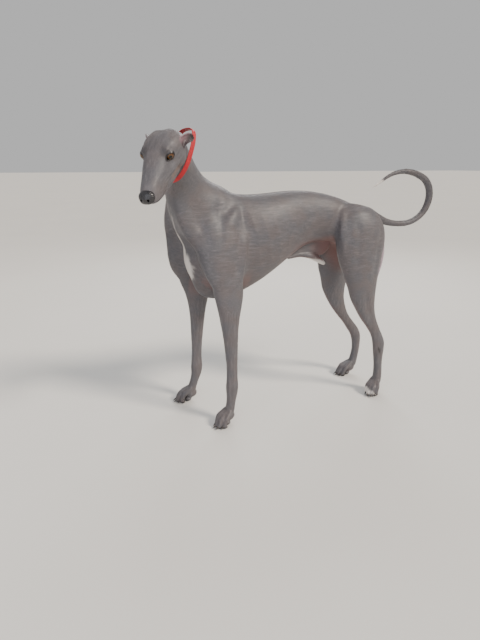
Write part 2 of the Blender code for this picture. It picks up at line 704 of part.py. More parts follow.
def collar(skin):
    # a band that follows its ellipse, and the skin where that stands out further
    centre, down, side, ahead, half = collarPlane()
    tree = BVHTree.FromPolygons(skin[0].tolist(), skin[1])
    reaches = []
    angles = np.linspace(0.0, 2 * math.pi, collarSides, endpoint=False)
    for angle in angles:
        way = math.cos(angle) * down + math.sin(angle) * side
        power = collarPowers[0] if math.cos(angle) > 0 else collarPowers[1]
        lengthwise, sideways = abs(math.cos(angle) / half), abs(math.sin(angle) / collarHalfWidth)
        reach = (lengthwise ** power + sideways ** power) ** (-1 / power)
        for edge in (-0.5, 0.0, 0.5):
            start = centre + edge * collarBand[0] * ahead + castFrom * way
            hit = tree.ray_cast(Vector(start), Vector(-way), castFrom)
            if hit[0] is not None:
                reach = max(reach, castFrom - hit[3] + collarClear)
        reaches.append(reach)
    reaches = np.array(reaches)
    for _ in range(3):
        mean = (np.roll(reaches, 1) + np.roll(reaches, -1)) / 2
        reaches = np.maximum(reaches, mean)
    wide, thick = collarBand
    section = [(-0.5, 0.0), (0.5, 0.0), (0.5, 1.0), (-0.5, 1.0)]
    points = []
    for angle, reach in zip(angles, reaches):
        way = math.cos(angle) * down + math.sin(angle) * side
        points += [centre + (reach + high * thick) * way + along * wide * ahead for along, high in section]
    faces = []
    for i in range(collarSides):
        a, b = 4 * i, 4 * ((i + 1) % collarSides)
        faces += [(a + k, a + (k + 1) % 4, b + (k + 1) % 4, b + k) for k in range(4)]
    return np.array(points), faces


def outwards(shell):
    # faces turned so that the body's volume counts positive
    mesh = bmesh.new()
    for point in shell[0]:
        mesh.verts.new(point)
    mesh.verts.ensure_lookup_table()
    for face in shell[1]:
        mesh.faces.new([mesh.verts[int(v)] for v in face])
    bmesh.ops.recalc_face_normals(mesh, faces=mesh.faces)
    if mesh.calc_volume(signed=True) < 0:
        bmesh.ops.reverse_faces(mesh, faces=mesh.faces)
    points = np.array([vert.co[:] for vert in mesh.verts])
    mesh.verts.index_update()
    faces = [tuple(vert.index for vert in face.verts) for face in mesh.faces]
    mesh.free()
    return points, faces


def combined(shell, tools, operation):
    # the shell with each tool taken away, kept inside or added
    obj = asObject("work", shell)
    helpers = []
    for tool in tools:
        helper = asObject("tool", outwards(tool))
        boolean = obj.modifiers.new("Boolean", "BOOLEAN")
        boolean.operation = operation
        boolean.solver = "EXACT"
        boolean.object = helper
        helpers.append(helper)
    result = asShell(obj)
    for helper in helpers + [obj]:
        discard(helper)
    return result


def simplified(shell, share, held):
    # fewer faces, least so where held is near 1
    obj = asObject("fine", shell)
    group = obj.vertex_groups.new(name="Held")
    for k, weight in enumerate(held):
        if weight > 0:
            group.add([k], float(weight), "REPLACE")
    decimate = obj.modifiers.new("Decimate", "DECIMATE")
    decimate.ratio = share
    decimate.vertex_group = group.name
    decimate.vertex_group_factor = keepStrength
    decimate.invert_vertex_group = True
    result = asShell(obj)
    discard(obj)
    return result


def beyond(place, normal, start):
    # everything further than start along the normal, as a box
    normal = Vector(normal).normalized()
    turn = np.array(normal.to_track_quat("Z", "Y").to_matrix())
    corners = np.array([(x, y, z) for z in (0, 2) for y in (-1, 1) for x in (-1, 1)], float)
    corners = corners @ turn.T + np.array(place) + start * np.array(normal)
    return corners, [(0, 2, 3, 1), (4, 5, 7, 6), (0, 1, 5, 4), (2, 6, 7, 3), (0, 4, 6, 2), (1, 3, 7, 5)]


def parted(shell, place, normal):
    # the piece behind a plane and the piece beyond it, a gap apart
    near = combined(shell, [beyond(place, -np.array(normal, float), gap / 2)], "INTERSECT")
    far = combined(shell, [beyond(place, normal, gap / 2)], "INTERSECT")
    return largest(near), largest(far)


def limbRegion(profile, span, grown=0.0):
    # a prism along y round a left limb; grown moves its cutting face into the trunk
    (xLow, zLow), (xHigh, zHigh) = profile
    way = np.array((xHigh - xLow, zHigh - zLow))
    way /= np.linalg.norm(way)
    inward = grown * np.array((-way[1], way[0]))
    low = np.array((xLow, zLow)) + inward
    start = low - way * (low[0] + grown) / way[0]
    end = low + way * 0.32
    outline = [start, end, (0.42, end[1]), (0.42, -0.05), (start[0], -0.05)]
    points = [(x, y, z) for y in span for x, z in outline]
    count = len(outline)
    faces = [tuple(range(count)), tuple(range(2 * count - 1, count - 1, -1))]
    faces += [(k, count + k, count + (k + 1) % count, (k + 1) % count) for k in range(count)]
    return np.array(points, float), faces


def largest(shell):
    # the largest closed surface of a shell
    points, faces = shell
    times = Counter(tuple(sorted(face)) for face in faces)
    mesh = bmesh.new()
    for point in points:
        mesh.verts.new(point)
    mesh.verts.ensure_lookup_table()
    for face in faces:
        if times[tuple(sorted(face))] == 1:
            mesh.faces.new([mesh.verts[v] for v in face])
    bmesh.ops.triangulate(mesh, faces=mesh.faces)
    bmesh.ops.remove_doubles(mesh, verts=mesh.verts, dist=0.00001)
    bmesh.ops.dissolve_degenerate(mesh, dist=0.000005, edges=mesh.edges)
    bmesh.ops.triangulate(mesh, faces=mesh.faces)
    left = set(mesh.faces)
    best = []
    while left:
        seed = left.pop()
        island, queue = [seed], [seed]
        while queue:
            for edge in queue.pop().edges:
                for face in edge.link_faces:
                    if face in left and len(edge.link_faces) == 2:
                        left.discard(face)
                        island.append(face)
                        queue.append(face)
        if len(island) > len(best):
            best = island
    keep = set(best)
    bmesh.ops.delete(mesh, geom=[face for face in mesh.faces if face not in keep], context="FACES")
    mesh.verts.index_update()
    points = np.array([vert.co[:] for vert in mesh.verts])
    faces = [tuple(vert.index for vert in face.verts) for face in mesh.faces]
    mesh.free()
    return points, faces


def bodyNodes():
    fine = bodySkin()
    centre, down, side, ahead, half = collarPlane()
    headShare = np.clip((fine[0] - centre) @ ahead / 0.03 - 1.0, 0.0, 1.0) * (fine[0][:, 2] > 0.70)
    skin = simplified(fine, facesKept, headHeld * headShare + feetHeld * (fine[0][:, 2] < 0.07))
    nodes = {}
    rest = skin
    for name, (profile, span) in regions.items():
        flip = mirrored if "right" in name else (lambda shell: shell)
        limb = combined(skin, [flip(limbRegion(profile, span)), beyond((0, 0, 0), (0, 0, 1), 0)],
                        "INTERSECT")
        rest = combined(rest, [flip(limbRegion(profile, span, gap))], "DIFFERENCE")
        nodes[name] = largest(combined(largest(limb), claws(name), "UNION"))
    rest = largest(rest)
    rest, head = parted(rest, centre + headAhead * ahead, ahead)
    rest, nodes["neck"] = parted(rest, *neckBase)
    rest, tail = parted(rest, *tailBase)
    nodes["torso"] = rest
    nodes["tail_1"], tail = parted(tail, *tailBend)
    nodes["tail_2"], nodes["tail_3"] = parted(tail, *tailTurn)
    tools = [eyeBall(gap), eyeWindow(), ear(gap)]
    tools = [onHead(tool) for tool in bothSides(tools) + [noseLeather(gap), lipBlade()]]
    nodes["head"] = largest(combined(head, tools, "DIFFERENCE"))
    nodes["collar"] = largest(outwards(collar(skin)))
    nostrils = bothSides([tube(nostrilStations, perSpan=2, sides=8, capAngles=(45,))])
    nodes["nose"] = largest(onHead(combined(noseLeather(), nostrils, "DIFFERENCE")))
    for side, flip in (("left", lambda shell: shell), ("right", mirrored)):
        nodes["ear_" + side] = largest(outwards(onHead(flip(ear()))))
        nodes["eye_" + side] = largest(outwards(onHead(flip(eyeBall()))))
    return nodes


def material(name, colour, roughness):
    made = bpy.data.materials.new(name)
    made.use_nodes = True
    surface = made.node_tree.nodes["Principled BSDF"]
    surface.inputs["Base Color"].default_value = colour
    surface.inputs["Roughness"].default_value = roughness
    made.diffuse_color = colour
    return made


def main():
    for obj in list(bpy.data.objects):
        bpy.data.objects.remove(obj)
    nodes = bodyNodes()
    points = np.concatenate([shell[0] for shell in nodes.values()])
    low, high = points.min(axis=0), points.max(axis=0)
    rowShift = np.array((-(low[0] + high[0]) / 2, -(low[1] + high[1]) / 2, 0.0))
    coat = material("CoatBlueGrey", coatColour, 0.6)
    surfaces = {
        "nose": material("NoseLeather", (0.01, 0.01, 0.012, 1.0), 0.35),
        "eye_left": material("EyeAmber", (0.12, 0.045, 0.015, 1.0), 0.08),
        "collar": material("CollarWebbingRed", (0.72, 0.01, 0.02, 1.0), 0.5),
    }
    surfaces["eye_right"] = surfaces["eye_left"]
    for name, (points, faces) in nodes.items():
        obj = asObject(name, (points + rowShift, faces))
        obj.data.materials.append(surfaces.get(name, coat))
        obj.data.shade_smooth()
        obj.data.set_sharp_from_angle(angle=math.radians(42))


if __name__ == "__main__":
    main()
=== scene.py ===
import math
from collections import Counter
import bpy
import bmesh
import numpy as np
from mathutils import Matrix, Vector
from mathutils.bvhtree import BVHTree


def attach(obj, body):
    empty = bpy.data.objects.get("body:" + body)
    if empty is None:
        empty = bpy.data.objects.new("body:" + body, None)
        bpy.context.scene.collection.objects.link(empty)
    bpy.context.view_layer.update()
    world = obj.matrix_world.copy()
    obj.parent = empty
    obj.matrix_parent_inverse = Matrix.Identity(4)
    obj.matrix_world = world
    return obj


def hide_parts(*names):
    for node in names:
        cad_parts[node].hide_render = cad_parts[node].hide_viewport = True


# A greyhound's coat, eyes, nose, claws and collar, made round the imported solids.
# Metres. The dog is modelled with y = 0 between its fore feet, then moved onto the frame's origin.
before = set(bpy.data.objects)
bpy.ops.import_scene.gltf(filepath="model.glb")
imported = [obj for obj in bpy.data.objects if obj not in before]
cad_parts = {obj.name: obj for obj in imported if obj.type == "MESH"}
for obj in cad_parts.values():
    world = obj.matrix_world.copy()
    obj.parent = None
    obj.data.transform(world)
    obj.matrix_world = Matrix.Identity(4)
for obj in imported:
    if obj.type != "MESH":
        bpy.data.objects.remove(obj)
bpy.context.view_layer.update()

# Grain of the modelling stages: a stage is remeshed at its grain, then relaxed.
massGrain = 0.0060
limbGrain = 0.0036
headGrain = 0.0024
massRounds = 22
limbRounds = 10
headRounds = 9

keepStrength = 0.012      # how strongly the held places keep their faces
headHeld = 0.5            # share of that strength on the head
headLow = 0.70            # head and collar lie above this height
fit = 0.0001              # how much wider a cut is than what stands in it

# Trunk stations from rump to forechest: y, top, bottom, half width, height of the widest line
trunkStations = [
    (0.632, 0.622, 0.556, 0.024, 0.588),
    (0.600, 0.648, 0.535, 0.046, 0.594),
    (0.550, 0.679, 0.533, 0.058, 0.612),
    (0.500, 0.702, 0.545, 0.060, 0.628),
    (0.450, 0.719, 0.560, 0.056, 0.640),
    (0.400, 0.730, 0.561, 0.054, 0.645),
    (0.350, 0.736, 0.548, 0.058, 0.642),
    (0.300, 0.737, 0.517, 0.068, 0.630),
    (0.250, 0.733, 0.482, 0.079, 0.615),
    (0.200, 0.729, 0.450, 0.086, 0.600),
    (0.150, 0.727, 0.424, 0.086, 0.588),
    (0.100, 0.731, 0.404, 0.078, 0.572),
    (0.050, 0.729, 0.396, 0.066, 0.560),
    (0.000, 0.700, 0.404, 0.056, 0.550),
    (-0.028, 0.660, 0.430, 0.046, 0.545),
    (-0.044, 0.610, 0.480, 0.030, 0.545),
]

# Neck from inside the chest to the skull: centre x, y, z, half width, half depth behind, half depth in
# front, and its turn to the left in degrees
neckStations = [
    (0.000, 0.060, 0.600, 0.058, 0.125, 0.110, 0),
    (0.000, 0.002, 0.672, 0.062, 0.110, 0.106, 5),
    (0.004, -0.047, 0.738, 0.056, 0.072, 0.076, 18),
    (0.030, -0.073, 0.784, 0.051, 0.060, 0.060, 30),
    (0.070, -0.097, 0.824, 0.046, 0.057, 0.050, 41),
    (0.108, -0.116, 0.853, 0.042, 0.050, 0.046, 47),
    (0.140, -0.130, 0.872, 0.037, 0.036, 0.038, 50),
]

# Tail, centre line from the croup to the tip, with its radius
tailStations = [
    (0.000, 0.560, 0.660, 0.024),
    (0.000, 0.603, 0.650, 0.0225),
    (0.000, 0.643, 0.634, 0.0175),
    (0.000, 0.685, 0.618, 0.0135),
    (0.000, 0.740, 0.609, 0.0118),
    (0.000, 0.785, 0.611, 0.0118),
    (0.000, 0.821, 0.624, 0.0122),
    (0.000, 0.852, 0.651, 0.0130),
    (0.000, 0.868, 0.689, 0.0136),
    (0.000, 0.865, 0.727, 0.0138),
    (0.000, 0.843, 0.759, 0.0134),
    (0.000, 0.806, 0.778, 0.0126),
    (0.000, 0.764, 0.788, 0.0112),
    (0.000, 0.724, 0.787, 0.0095),
    (0.000, 0.690, 0.778, 0.0082),
    (0.000, 0.656, 0.760, 0.0070),
    (0.000, 0.628, 0.742, 0.0050),
    (0.000, 0.612, 0.732, 0.0028),
]

# Limbs of the left side, level by level: z, front y, back y, centre x, half width
shoulderLevels = [
    (0.660, -0.020, 0.110, 0.048, 0.024),
    (0.625, -0.042, 0.122, 0.058, 0.030),
    (0.580, -0.045, 0.122, 0.066, 0.033),
    (0.530, -0.035, 0.112, 0.073, 0.033),
    (0.485, -0.017, 0.107, 0.079, 0.031),
    (0.445, 0.002, 0.103, 0.085, 0.027),
    (0.415, 0.014, 0.096, 0.089, 0.025),
]
foreLevels = [
    (0.445, 0.002, 0.103, 0.085, 0.026),
    (0.415, 0.008, 0.099, 0.090, 0.0255),
    (0.385, 0.014, 0.092, 0.094, 0.0245),
    (0.345, 0.021, 0.083, 0.097, 0.0225),
    (0.300, 0.028, 0.080, 0.099, 0.0195),
    (0.250, 0.033, 0.078, 0.101, 0.0165),
    (0.200, 0.037, 0.077, 0.102, 0.0145),
    (0.160, 0.037, 0.077, 0.102, 0.0150),
    (0.130, 0.035, 0.079, 0.102, 0.0170),
    (0.105, 0.036, 0.076, 0.102, 0.0160),
    (0.080, 0.036, 0.070, 0.102, 0.0150),
    (0.055, 0.032, 0.066, 0.103, 0.0165),
    (0.035, 0.026, 0.062, 0.103, 0.0170),
]
thighLevels = [
    (0.672, 0.480, 0.590, 0.046, 0.034),
    (0.640, 0.455, 0.618, 0.055, 0.043),
    (0.600, 0.440, 0.632, 0.062, 0.047),
    (0.550, 0.440, 0.631, 0.069, 0.046),
    (0.500, 0.448, 0.617, 0.076, 0.041),
    (0.455, 0.466, 0.607, 0.081, 0.035),
    (0.410, 0.486, 0.600, 0.085, 0.029),
]
hindLevels = [
    (0.455, 0.466, 0.606, 0.081, 0.034),
    (0.410, 0.486, 0.600, 0.085, 0.028),
    (0.370, 0.499, 0.598, 0.087, 0.024),
    (0.335, 0.519, 0.600, 0.088, 0.019),
    (0.300, 0.541, 0.609, 0.088, 0.0150),
    (0.260, 0.573, 0.627, 0.088, 0.0120),
    (0.225, 0.596, 0.646, 0.088, 0.0125),
    (0.195, 0.606, 0.658, 0.088, 0.0150),
    (0.170, 0.611, 0.657, 0.088, 0.0165),
    (0.140, 0.616, 0.655, 0.088, 0.0150),
    (0.100, 0.621, 0.656, 0.088, 0.0140),
    (0.060, 0.621, 0.658, 0.088, 0.0160),
    (0.035, 0.614, 0.656, 0.088, 0.0170),
]

# How far the right limbs stand behind the left ones: z, change of y
foreStride = [(0.70, 0.0), (0.62, -0.035), (0.56, -0.062), (0.49, -0.065), (0.445, -0.058), (0.40, -0.046),
              (0.345, -0.045), (0.20, -0.055), (0.105, -0.058), (0.055, -0.067), (0.0, -0.070)]
hindStride = [(0.46, 0.0), (0.41, -0.005), (0.335, -0.010), (0.26, -0.012), (0.225, -0.004), (0.195, 0.008),
              (0.168, 0.022), (0.14, 0.026), (0.10, 0.023), (0.06, 0.014), (0.0, 0.006)]

# Feet: where the pads stand, and how far each foot turns outwards, in degrees
feet = {
    "leg_fore_left": (0.103, 0.043, 24),
    "leg_fore_right": (-0.103, -0.026, 4),
    "leg_hind_left": (0.088, 0.632, 36),
    "leg_hind_right": (-0.088, 0.636, 4),
}
# Toes from the inner to the outer: sideways place, reach forward
toes = [(-0.0185, 0.036), (-0.0065, 0.048), (0.0065, 0.048), (0.0185, 0.035)]
# A toe from its root to its tip: shares of its sideways place and of its reach, how far its root stands
# back, height, radius
toeStations = [
    (0.55, 0.00, 0.004, 0.0520, 0.0078),
    (0.85, 0.40, 0.000, 0.0400, 0.0082),
    (1.00, 0.70, 0.000, 0.0330, 0.0086),
    (1.00, 0.90, 0.000, 0.0210, 0.0078),
    (1.00, 1.00, 0.000, 0.0090, 0.0074),
]
toePad = (0.0068, 0.0085, 0.0062)
toePadPlace = (0.004, 0.0058)   # behind the toe's tip, above the floor
# The ball of the foot and its large pad: place, radii
footBalls = [((0, 0.000, 0.030), (0.0185, 0.0240, 0.0190)), ((0, -0.010, 0.0085), (0.0160, 0.0140, 0.0088))]
# A claw from its root to its tip: how far it stands out past the toe's reach, height, radius
clawStations = [(-0.0060, 0.0108, 0.0026), (0.0035, 0.0106, 0.0030), (0.0085, 0.0086, 0.0025),
                (0.0120, 0.0058, 0.0017), (0.0143, 0.0030, 0.0008)]

# Muscles and bones that show under the skin, on the left: start, belly, end, width, thickness
foreMuscles = [
    # front and back of the shoulder blade, the arm's long head and its side head
    ((0.032, 0.066, 0.700), (0.062, 0.014, 0.645), (0.082, -0.012, 0.570), 0.026, 0.0115),
    ((0.040, 0.110, 0.695), (0.070, 0.070, 0.640), (0.090, 0.022, 0.565), 0.026, 0.0115),
    ((0.066, 0.116, 0.640), (0.084, 0.094, 0.560), (0.093, 0.082, 0.440), 0.022, 0.014),
    ((0.080, 0.045, 0.590), (0.092, 0.056, 0.520), (0.096, 0.070, 0.440), 0.024, 0.013),
    # upper arm, then the two on the outside of the forearm
    ((0.078, -0.018, 0.555), (0.085, 0.002, 0.500), (0.096, 0.030, 0.430), 0.022, 0.016),
    ((0.102, 0.030, 0.430), (0.107, 0.040, 0.370), (0.107, 0.048, 0.270), 0.014, 0.011),
    ((0.098, 0.078, 0.415), (0.103, 0.071, 0.360), (0.103, 0.066, 0.270), 0.013, 0.011),
]
hindMuscles = [
    # hip, front of the thigh, its back, and the strap behind it
    ((0.030, 0.470, 0.680), (0.056, 0.530, 0.650), (0.078, 0.590, 0.600), 0.036, 0.0125),
    ((0.052, 0.470, 0.670), (0.080, 0.466, 0.590), (0.090, 0.474, 0.500), 0.024, 0.014),
    ((0.078, 0.550, 0.640), (0.100, 0.545, 0.550), (0.100, 0.540, 0.440), 0.036, 0.014),
    ((0.052, 0.612, 0.600), (0.074, 0.612, 0.530), (0.090, 0.588, 0.420), 0.018, 0.016),
]
# From behind the jaw down the front of the neck to the point of the shoulder
throatMuscle = ((0.030, -0.075, 0.770), (0.046, -0.066, 0.670), (0.068, -0.030, 0.560), 0.030, 0.022)

# Head, in its own frame: origin midway between the eyes, it faces -y, its left is +x
headPlace = (0.185, -0.169, 0.832)
headYaw = 49              # degrees to the dog's left
headPitch = 41            # degrees nose down
eyeCentre = (0.0340, 0.0035, 0.0015)
eyeRadius = 0.0124
eyeOut = 32               # degrees that an eye looks outwards
eyeOpening = (0.0114, 0.0074)   # half width and half height between the lids
lidThickness = 0.0017

# Skull and upper jaw: y, top, bottom, half width, height of the widest line
skullStations = [
    (0.106, -0.014, -0.036, 0.024, -0.022),
    (0.093, 0.003, -0.044, 0.036, -0.014),
    (0.075, 0.018, -0.052, 0.045, -0.006),
    (0.050, 0.028, -0.056, 0.0500, -0.002),
    (0.025, 0.032, -0.058, 0.0490, -0.006),
    (0.002, 0.029, -0.059, 0.0415, -0.012),
    (-0.018, 0.020, -0.060, 0.0360, -0.019),
    (-0.038, 0.011, -0.061, 0.0345, -0.026),
    (-0.058, 0.003, -0.062, 0.0315, -0.033),
    (-0.078, -0.004, -0.063, 0.0285, -0.038),
    (-0.095, -0.011, -0.062, 0.0255, -0.040),
    (-0.104, -0.018, -0.058, 0.0215, -0.039),
]
# Lower jaw in the same columns
jawStations = [
    (0.065, -0.010, -0.062, 0.036, -0.034),
    (0.040, -0.018, -0.076, 0.040, -0.042),
    (0.010, -0.028, -0.081, 0.0365, -0.050),
    (-0.020, -0.036, -0.080, 0.0310, -0.056),
    (-0.050, -0.040, -0.077, 0.0255, -0.058),
    (-0.075, -0.042, -0.0735, 0.0205, -0.058),
    (-0.090, -0.044, -0.0700, 0.0165, -0.057),
    (-0.098, -0.047, -0.0660, 0.0115, -0.056),
]
# Nose leather from its back to its front: y, z, half width, up, down
noseStations = [
    (-0.098, -0.029, 0.0165, 0.0105, 0.0110),
    (-0.106, -0.030, 0.0205, 0.0130, 0.0150),
    (-0.114, -0.032, 0.0200, 0.0125, 0.0150),
    (-0.120, -0.034, 0.0160, 0.0090, 0.0110),
]
# A nostril on the left: x, y, z, radius
nostrilStations = [
    (0.0070, -0.1120, -0.0310, 0.0022),
    (0.0085, -0.1215, -0.0310, 0.0034),
    (0.0125, -0.1240, -0.0300, 0.0032),
    (0.0190, -0.1190, -0.0325, 0.0020),
]
# Line between the lips on the left, from the front to the corner
lipLine = [(0.0, -0.1060, -0.0545), (0.0115, -0.1030, -0.0550), (0.0205, -0.0900, -0.0555),
           (0.0265, -0.0660, -0.0555), (0.0320, -0.0400, -0.0535), (0.0370, -0.0160, -0.0490),
           (0.0400, -0.0020, -0.0450)]
lipCut = 0.0010           # opening of the line between the lips
lipDepth = 0.0050
lipReach = 0.0120         # how far its blade stands out of the skin

# Left ear from its root to its tip: x, y, z, half width, how far it curls (degrees)
earStations = [
    (0.034, 0.048, -0.016, 0.0085, 84),
    (0.0425, 0.056, -0.008, 0.0105, 88),
    (0.0490, 0.066, -0.005, 0.0115, 86),
    (0.0530, 0.077, -0.009, 0.0110, 80),
    (0.0540, 0.088, -0.018, 0.0095, 70),
    (0.0525, 0.096, -0.028, 0.0068, 58),
    (0.0500, 0.101, -0.037, 0.0038, 44),
    (0.0485, 0.103, -0.041, 0.0020, 34),
]
earFacing = (0.72, -0.58, 0.38)
earThickness = 0.0030

# Collar: a ring whose plane holds its top behind the head and its lowest point at the throat
collarTop = (0.075, -0.059, 0.900)
collarThroat = (0.101, -0.106, 0.772)
collarSide = (0.95, 0.31, 0.0)
collarHalfWidth = 0.0430
collarPowers = (2.1, 3.5)       # roundness towards the throat, squareness behind the head
collarBand = (0.0130, 0.0025)   # width along the neck, thickness
collarClear = 0.0016      # kept from the skin
collarSides = 40
castFrom = 0.16           # where its rays to the skin start, from its middle

# Where the neck leaves the trunk: a place and a direction
neckBase = ((0.0, -0.045, 0.735), (0.10, -0.45, 0.88))

# Sheath under the belly, centre line with its radius
sheathStations = [
    (0.000, 0.300, 0.515, 0.0060),
    (0.000, 0.345, 0.522, 0.0090),
    (0.000, 0.390, 0.514, 0.0120),
    (0.000, 0.420, 0.498, 0.0110),
    (0.000, 0.436, 0.487, 0.0075),
]


def smoothRows(rows, perSpan):
    # finer rows on a smooth curve through the given ones, spaced by the way between their centres
    rows = np.array(rows, float)
    way = np.linalg.norm(np.diff(rows[:, :3], axis=0), axis=1)
    at = np.concatenate([[0.0], np.cumsum(way)])
    slope = np.gradient(rows, at, axis=0)
    fine = []
    for i in range(len(rows) - 1):
        span = at[i + 1] - at[i]
        for t in np.linspace(0.0, 1.0, perSpan, endpoint=False):
            a = 2 * t ** 3 - 3 * t ** 2 + 1
            b = t ** 3 - 2 * t ** 2 + t
            c = t ** 3 - t ** 2
            fine.append(a * rows[i] + (1 - a) * rows[i + 1] + span * (b * slope[i] + c * slope[i + 1]))
    fine.append(rows[-1])
    return np.array(fine)


def loft(stations, side=(1, 0, 0), up=None, powers=(2.0, 2.0), perSpan=4, sides=24, rounding=(0.6, 0.6),
         capAngles=(30, 55, 75)):
    # stations: x, y, z, half width, half height up, half height down; the ends are rounded off
    rows = smoothRows(stations, perSpan)
    turns = np.radians(rows[:, 6]) if rows.shape[1] > 6 else np.zeros(len(rows))
    side = np.array(side, float) / np.linalg.norm(side)
    across = [np.array(Matrix.Rotation(turn, 3, "Z") @ Vector(side)) for turn in turns]
    centres = rows[:, :3]
    tangents = np.gradient(centres, axis=0)
    tangents /= np.linalg.norm(tangents, axis=1)[:, None]
    if up is None:
        ups = np.cross(tangents, across)
        ups /= np.linalg.norm(ups, axis=1)[:, None]
    else:
        ups = np.tile(np.array(up, float) / np.linalg.norm(up), (len(rows), 1))
    sections = [(centres[i], across[i], ups[i], rows[i, 3:6]) for i in range(len(rows))]
    for end, turn in ((0, -1.0), (-1, 1.0)):
        reach = rounding[0 if end == 0 else 1] * min(rows[end, 3:6])
        for angle in capAngles:
            lean = math.radians(angle)
            centre = centres[end] + turn * tangents[end] * reach * math.sin(lean)
            ring = (centre, across[end], ups[end], rows[end, 3:6] * math.cos(lean))
            sections = [ring] + sections if end == 0 else sections + [ring]
    angles = np.linspace(0.0, 2 * math.pi, sides, endpoint=False)
    cosines, sines = np.cos(angles), np.sin(angles)
    power = np.where(sines > 0, powers[0], powers[1])
    wideness = np.sign(cosines) * np.abs(cosines) ** (2 / power)
    tallness = np.sign(sines) * np.abs(sines) ** (2 / power)
    points = []
    for centre, sideways, normal, (wide, high, low) in sections:
        reach = np.where(tallness > 0, high, low)
        points.append(centre + np.outer(wideness * wide, sideways) + np.outer(tallness * reach, normal))
    points = np.concatenate(points)
    count = len(sections)
    faces = []
    for i in range(count - 1):
        for k in range(sides):
            n = (k + 1) % sides
            faces.append((i * sides + k, i * sides + n, (i + 1) * sides + n, (i + 1) * sides + k))
    faces.append(tuple(range(sides - 1, -1, -1)))
    faces.append(tuple((count - 1) * sides + k for k in range(sides)))
    return points, faces


def levels(rows, powers=(2.0, 2.0), rounding=(0.3, 0.3)):
    # a limb cut level by level: z, front y, back y, centre x, half width
    stations = [(x, (front + back) / 2, z, wide, (back - front) / 2, (back - front) / 2)
                for z, front, back, x, wide in rows]
    return loft(stations, up=(0, -1, 0), powers=powers, rounding=rounding)


def tube(stations, side=(1, 0, 0), flat=1.0, perSpan=4, sides=16, capAngles=(30, 55, 75)):
    # stations: x, y, z, radius; flat narrows or widens it across
    return loft([(x, y, z, r * flat, r, r) for x, y, z, r in stations], side=side, perSpan=perSpan,
                sides=sides, rounding=(1.0, 1.0), capAngles=capAngles)


def muscle(start, belly, end, wide, thick, outward=(1, 0, 0), tip=0.30):
    # a spindle from start through belly to end, wide along the skin and thick across it
    start, belly, end = (np.array(p, float) for p in (start, belly, end))
    middle = 2 * belly - (start + end) / 2
    rows = []
    for t in np.linspace(0.0, 1.0, 9):
        centre = (1 - t) ** 2 * start + 2 * t * (1 - t) * middle + t ** 2 * end
        fullness = tip + (1 - tip) * math.sin(math.pi * t) ** 0.9
        rows.append((*centre, wide * fullness, thick * fullness, thick * fullness))
    across = np.cross(np.array(outward, float), end - start)
    return loft(rows, side=across, perSpan=2, sides=16)


def ball(centre, radii, axes=None, sides=16, rings=10):
    # an ellipsoid, with its axes as three rows
    axes = np.eye(3) if axes is None else np.array(axes, float)
    points = [np.array([0.0, 0.0, 1.0])]
    for i in range(1, rings):
        tilt = math.pi * i / rings
        for k in range(sides):
            turn = 2 * math.pi * k / sides
            points.append(np.array([math.sin(tilt) * math.cos(turn), math.sin(tilt) * math.sin(turn),
                                    math.cos(tilt)]))
    points.append(np.array([0.0, 0.0, -1.0]))
    points = np.array(points) * np.array(radii) @ axes + np.array(centre)
    faces = [(0, 1 + k, 1 + (k + 1) % sides) for k in range(sides)]
    for i in range(rings - 2):
        a, b = 1 + i * sides, 1 + (i + 1) * sides
        faces += [(a + k, b + k, b + (k + 1) % sides, a + (k + 1) % sides) for k in range(sides)]
    last = 1 + (rings - 2) * sides
    faces += [(last + k, len(points) - 1, last + (k + 1) % sides) for k in range(sides)]
    return points, faces


def mirrored(shell):
    points, faces = shell
    return points * np.array([-1, 1, 1]), [face[::-1] for face in faces]


def gathered(shells):
    points, faces, start = [], [], 0
    for shellPoints, shellFaces in shells:
        points.append(shellPoints)
        faces += [tuple(int(v) + start for v in face) for face in shellFaces]
        start += len(shellPoints)
    return np.concatenate(points), faces


def asObject(name, shell):
    mesh = bpy.data.meshes.new(name)
    mesh.from_pydata(shell[0].tolist(), [], [tuple(int(v) for v in face) for face in shell[1]])
    mesh.update()
    obj = bpy.data.objects.new(name, mesh)
    bpy.context.scene.collection.objects.link(obj)
    return obj


def asShell(obj):
    depsgraph = bpy.context.evaluated_depsgraph_get()
    mesh = obj.evaluated_get(depsgraph).to_mesh()
    points = np.empty(len(mesh.vertices) * 3)
    mesh.vertices.foreach_get("co", points)
    faces = [tuple(face.vertices) for face in mesh.polygons]
    return points.reshape(-1, 3), faces


def discard(obj):
    mesh = obj.data
    bpy.data.objects.remove(obj)
    bpy.data.meshes.remove(mesh)


def fused(shells, grain):
    # one skin round all the shells, in squares of about the grain
    obj = asObject("clay", gathered(shells))
    remesh = obj.modifiers.new("Remesh", "REMESH")
    remesh.mode = "VOXEL"
    remesh.voxel_size = grain
    shell = asShell(obj)
    discard(obj)
    return shell


def relaxed(shell, rounds, hold=None):
    # each point moves half way to the mean of its neighbours, less where hold is near 1
    points, faces = shell[0].copy(), shell[1]
    pairs = np.array([(face[i - 1], face[i]) for face in faces for i in range(len(face))])
    pairs = np.concatenate([pairs, pairs[:, ::-1]])
    count = np.bincount(pairs[:, 0], minlength=len(points))
    move = 0.5 if hold is None else 0.5 * (1 - hold)[:, None]
    for _ in range(rounds):
        mean = np.stack([np.bincount(pairs[:, 0], points[pairs[:, 1], k],
                                     len(points)) for k in range(3)], axis=1)
        points += move * (mean / count[:, None] - points)
    return points, faces


def profiled(rows):
    # stations on the middle plane, from rows of y, top, bottom, half width, height of the widest line
    return [(0, y, widest, wide, top - widest, widest - bottom) for y, top, bottom, wide, widest in rows]


def trunk():
    return loft(profiled(trunkStations), up=(0, 0, 1), powers=(1.9, 1.75), sides=32)


def neck():
    return loft(neckStations, sides=28)


def strideAt(stride, z):
    # how far the right limb stands behind the left one at a height
    heights, changes = np.array(stride[::-1]).T
    return np.interp(z, heights, changes)


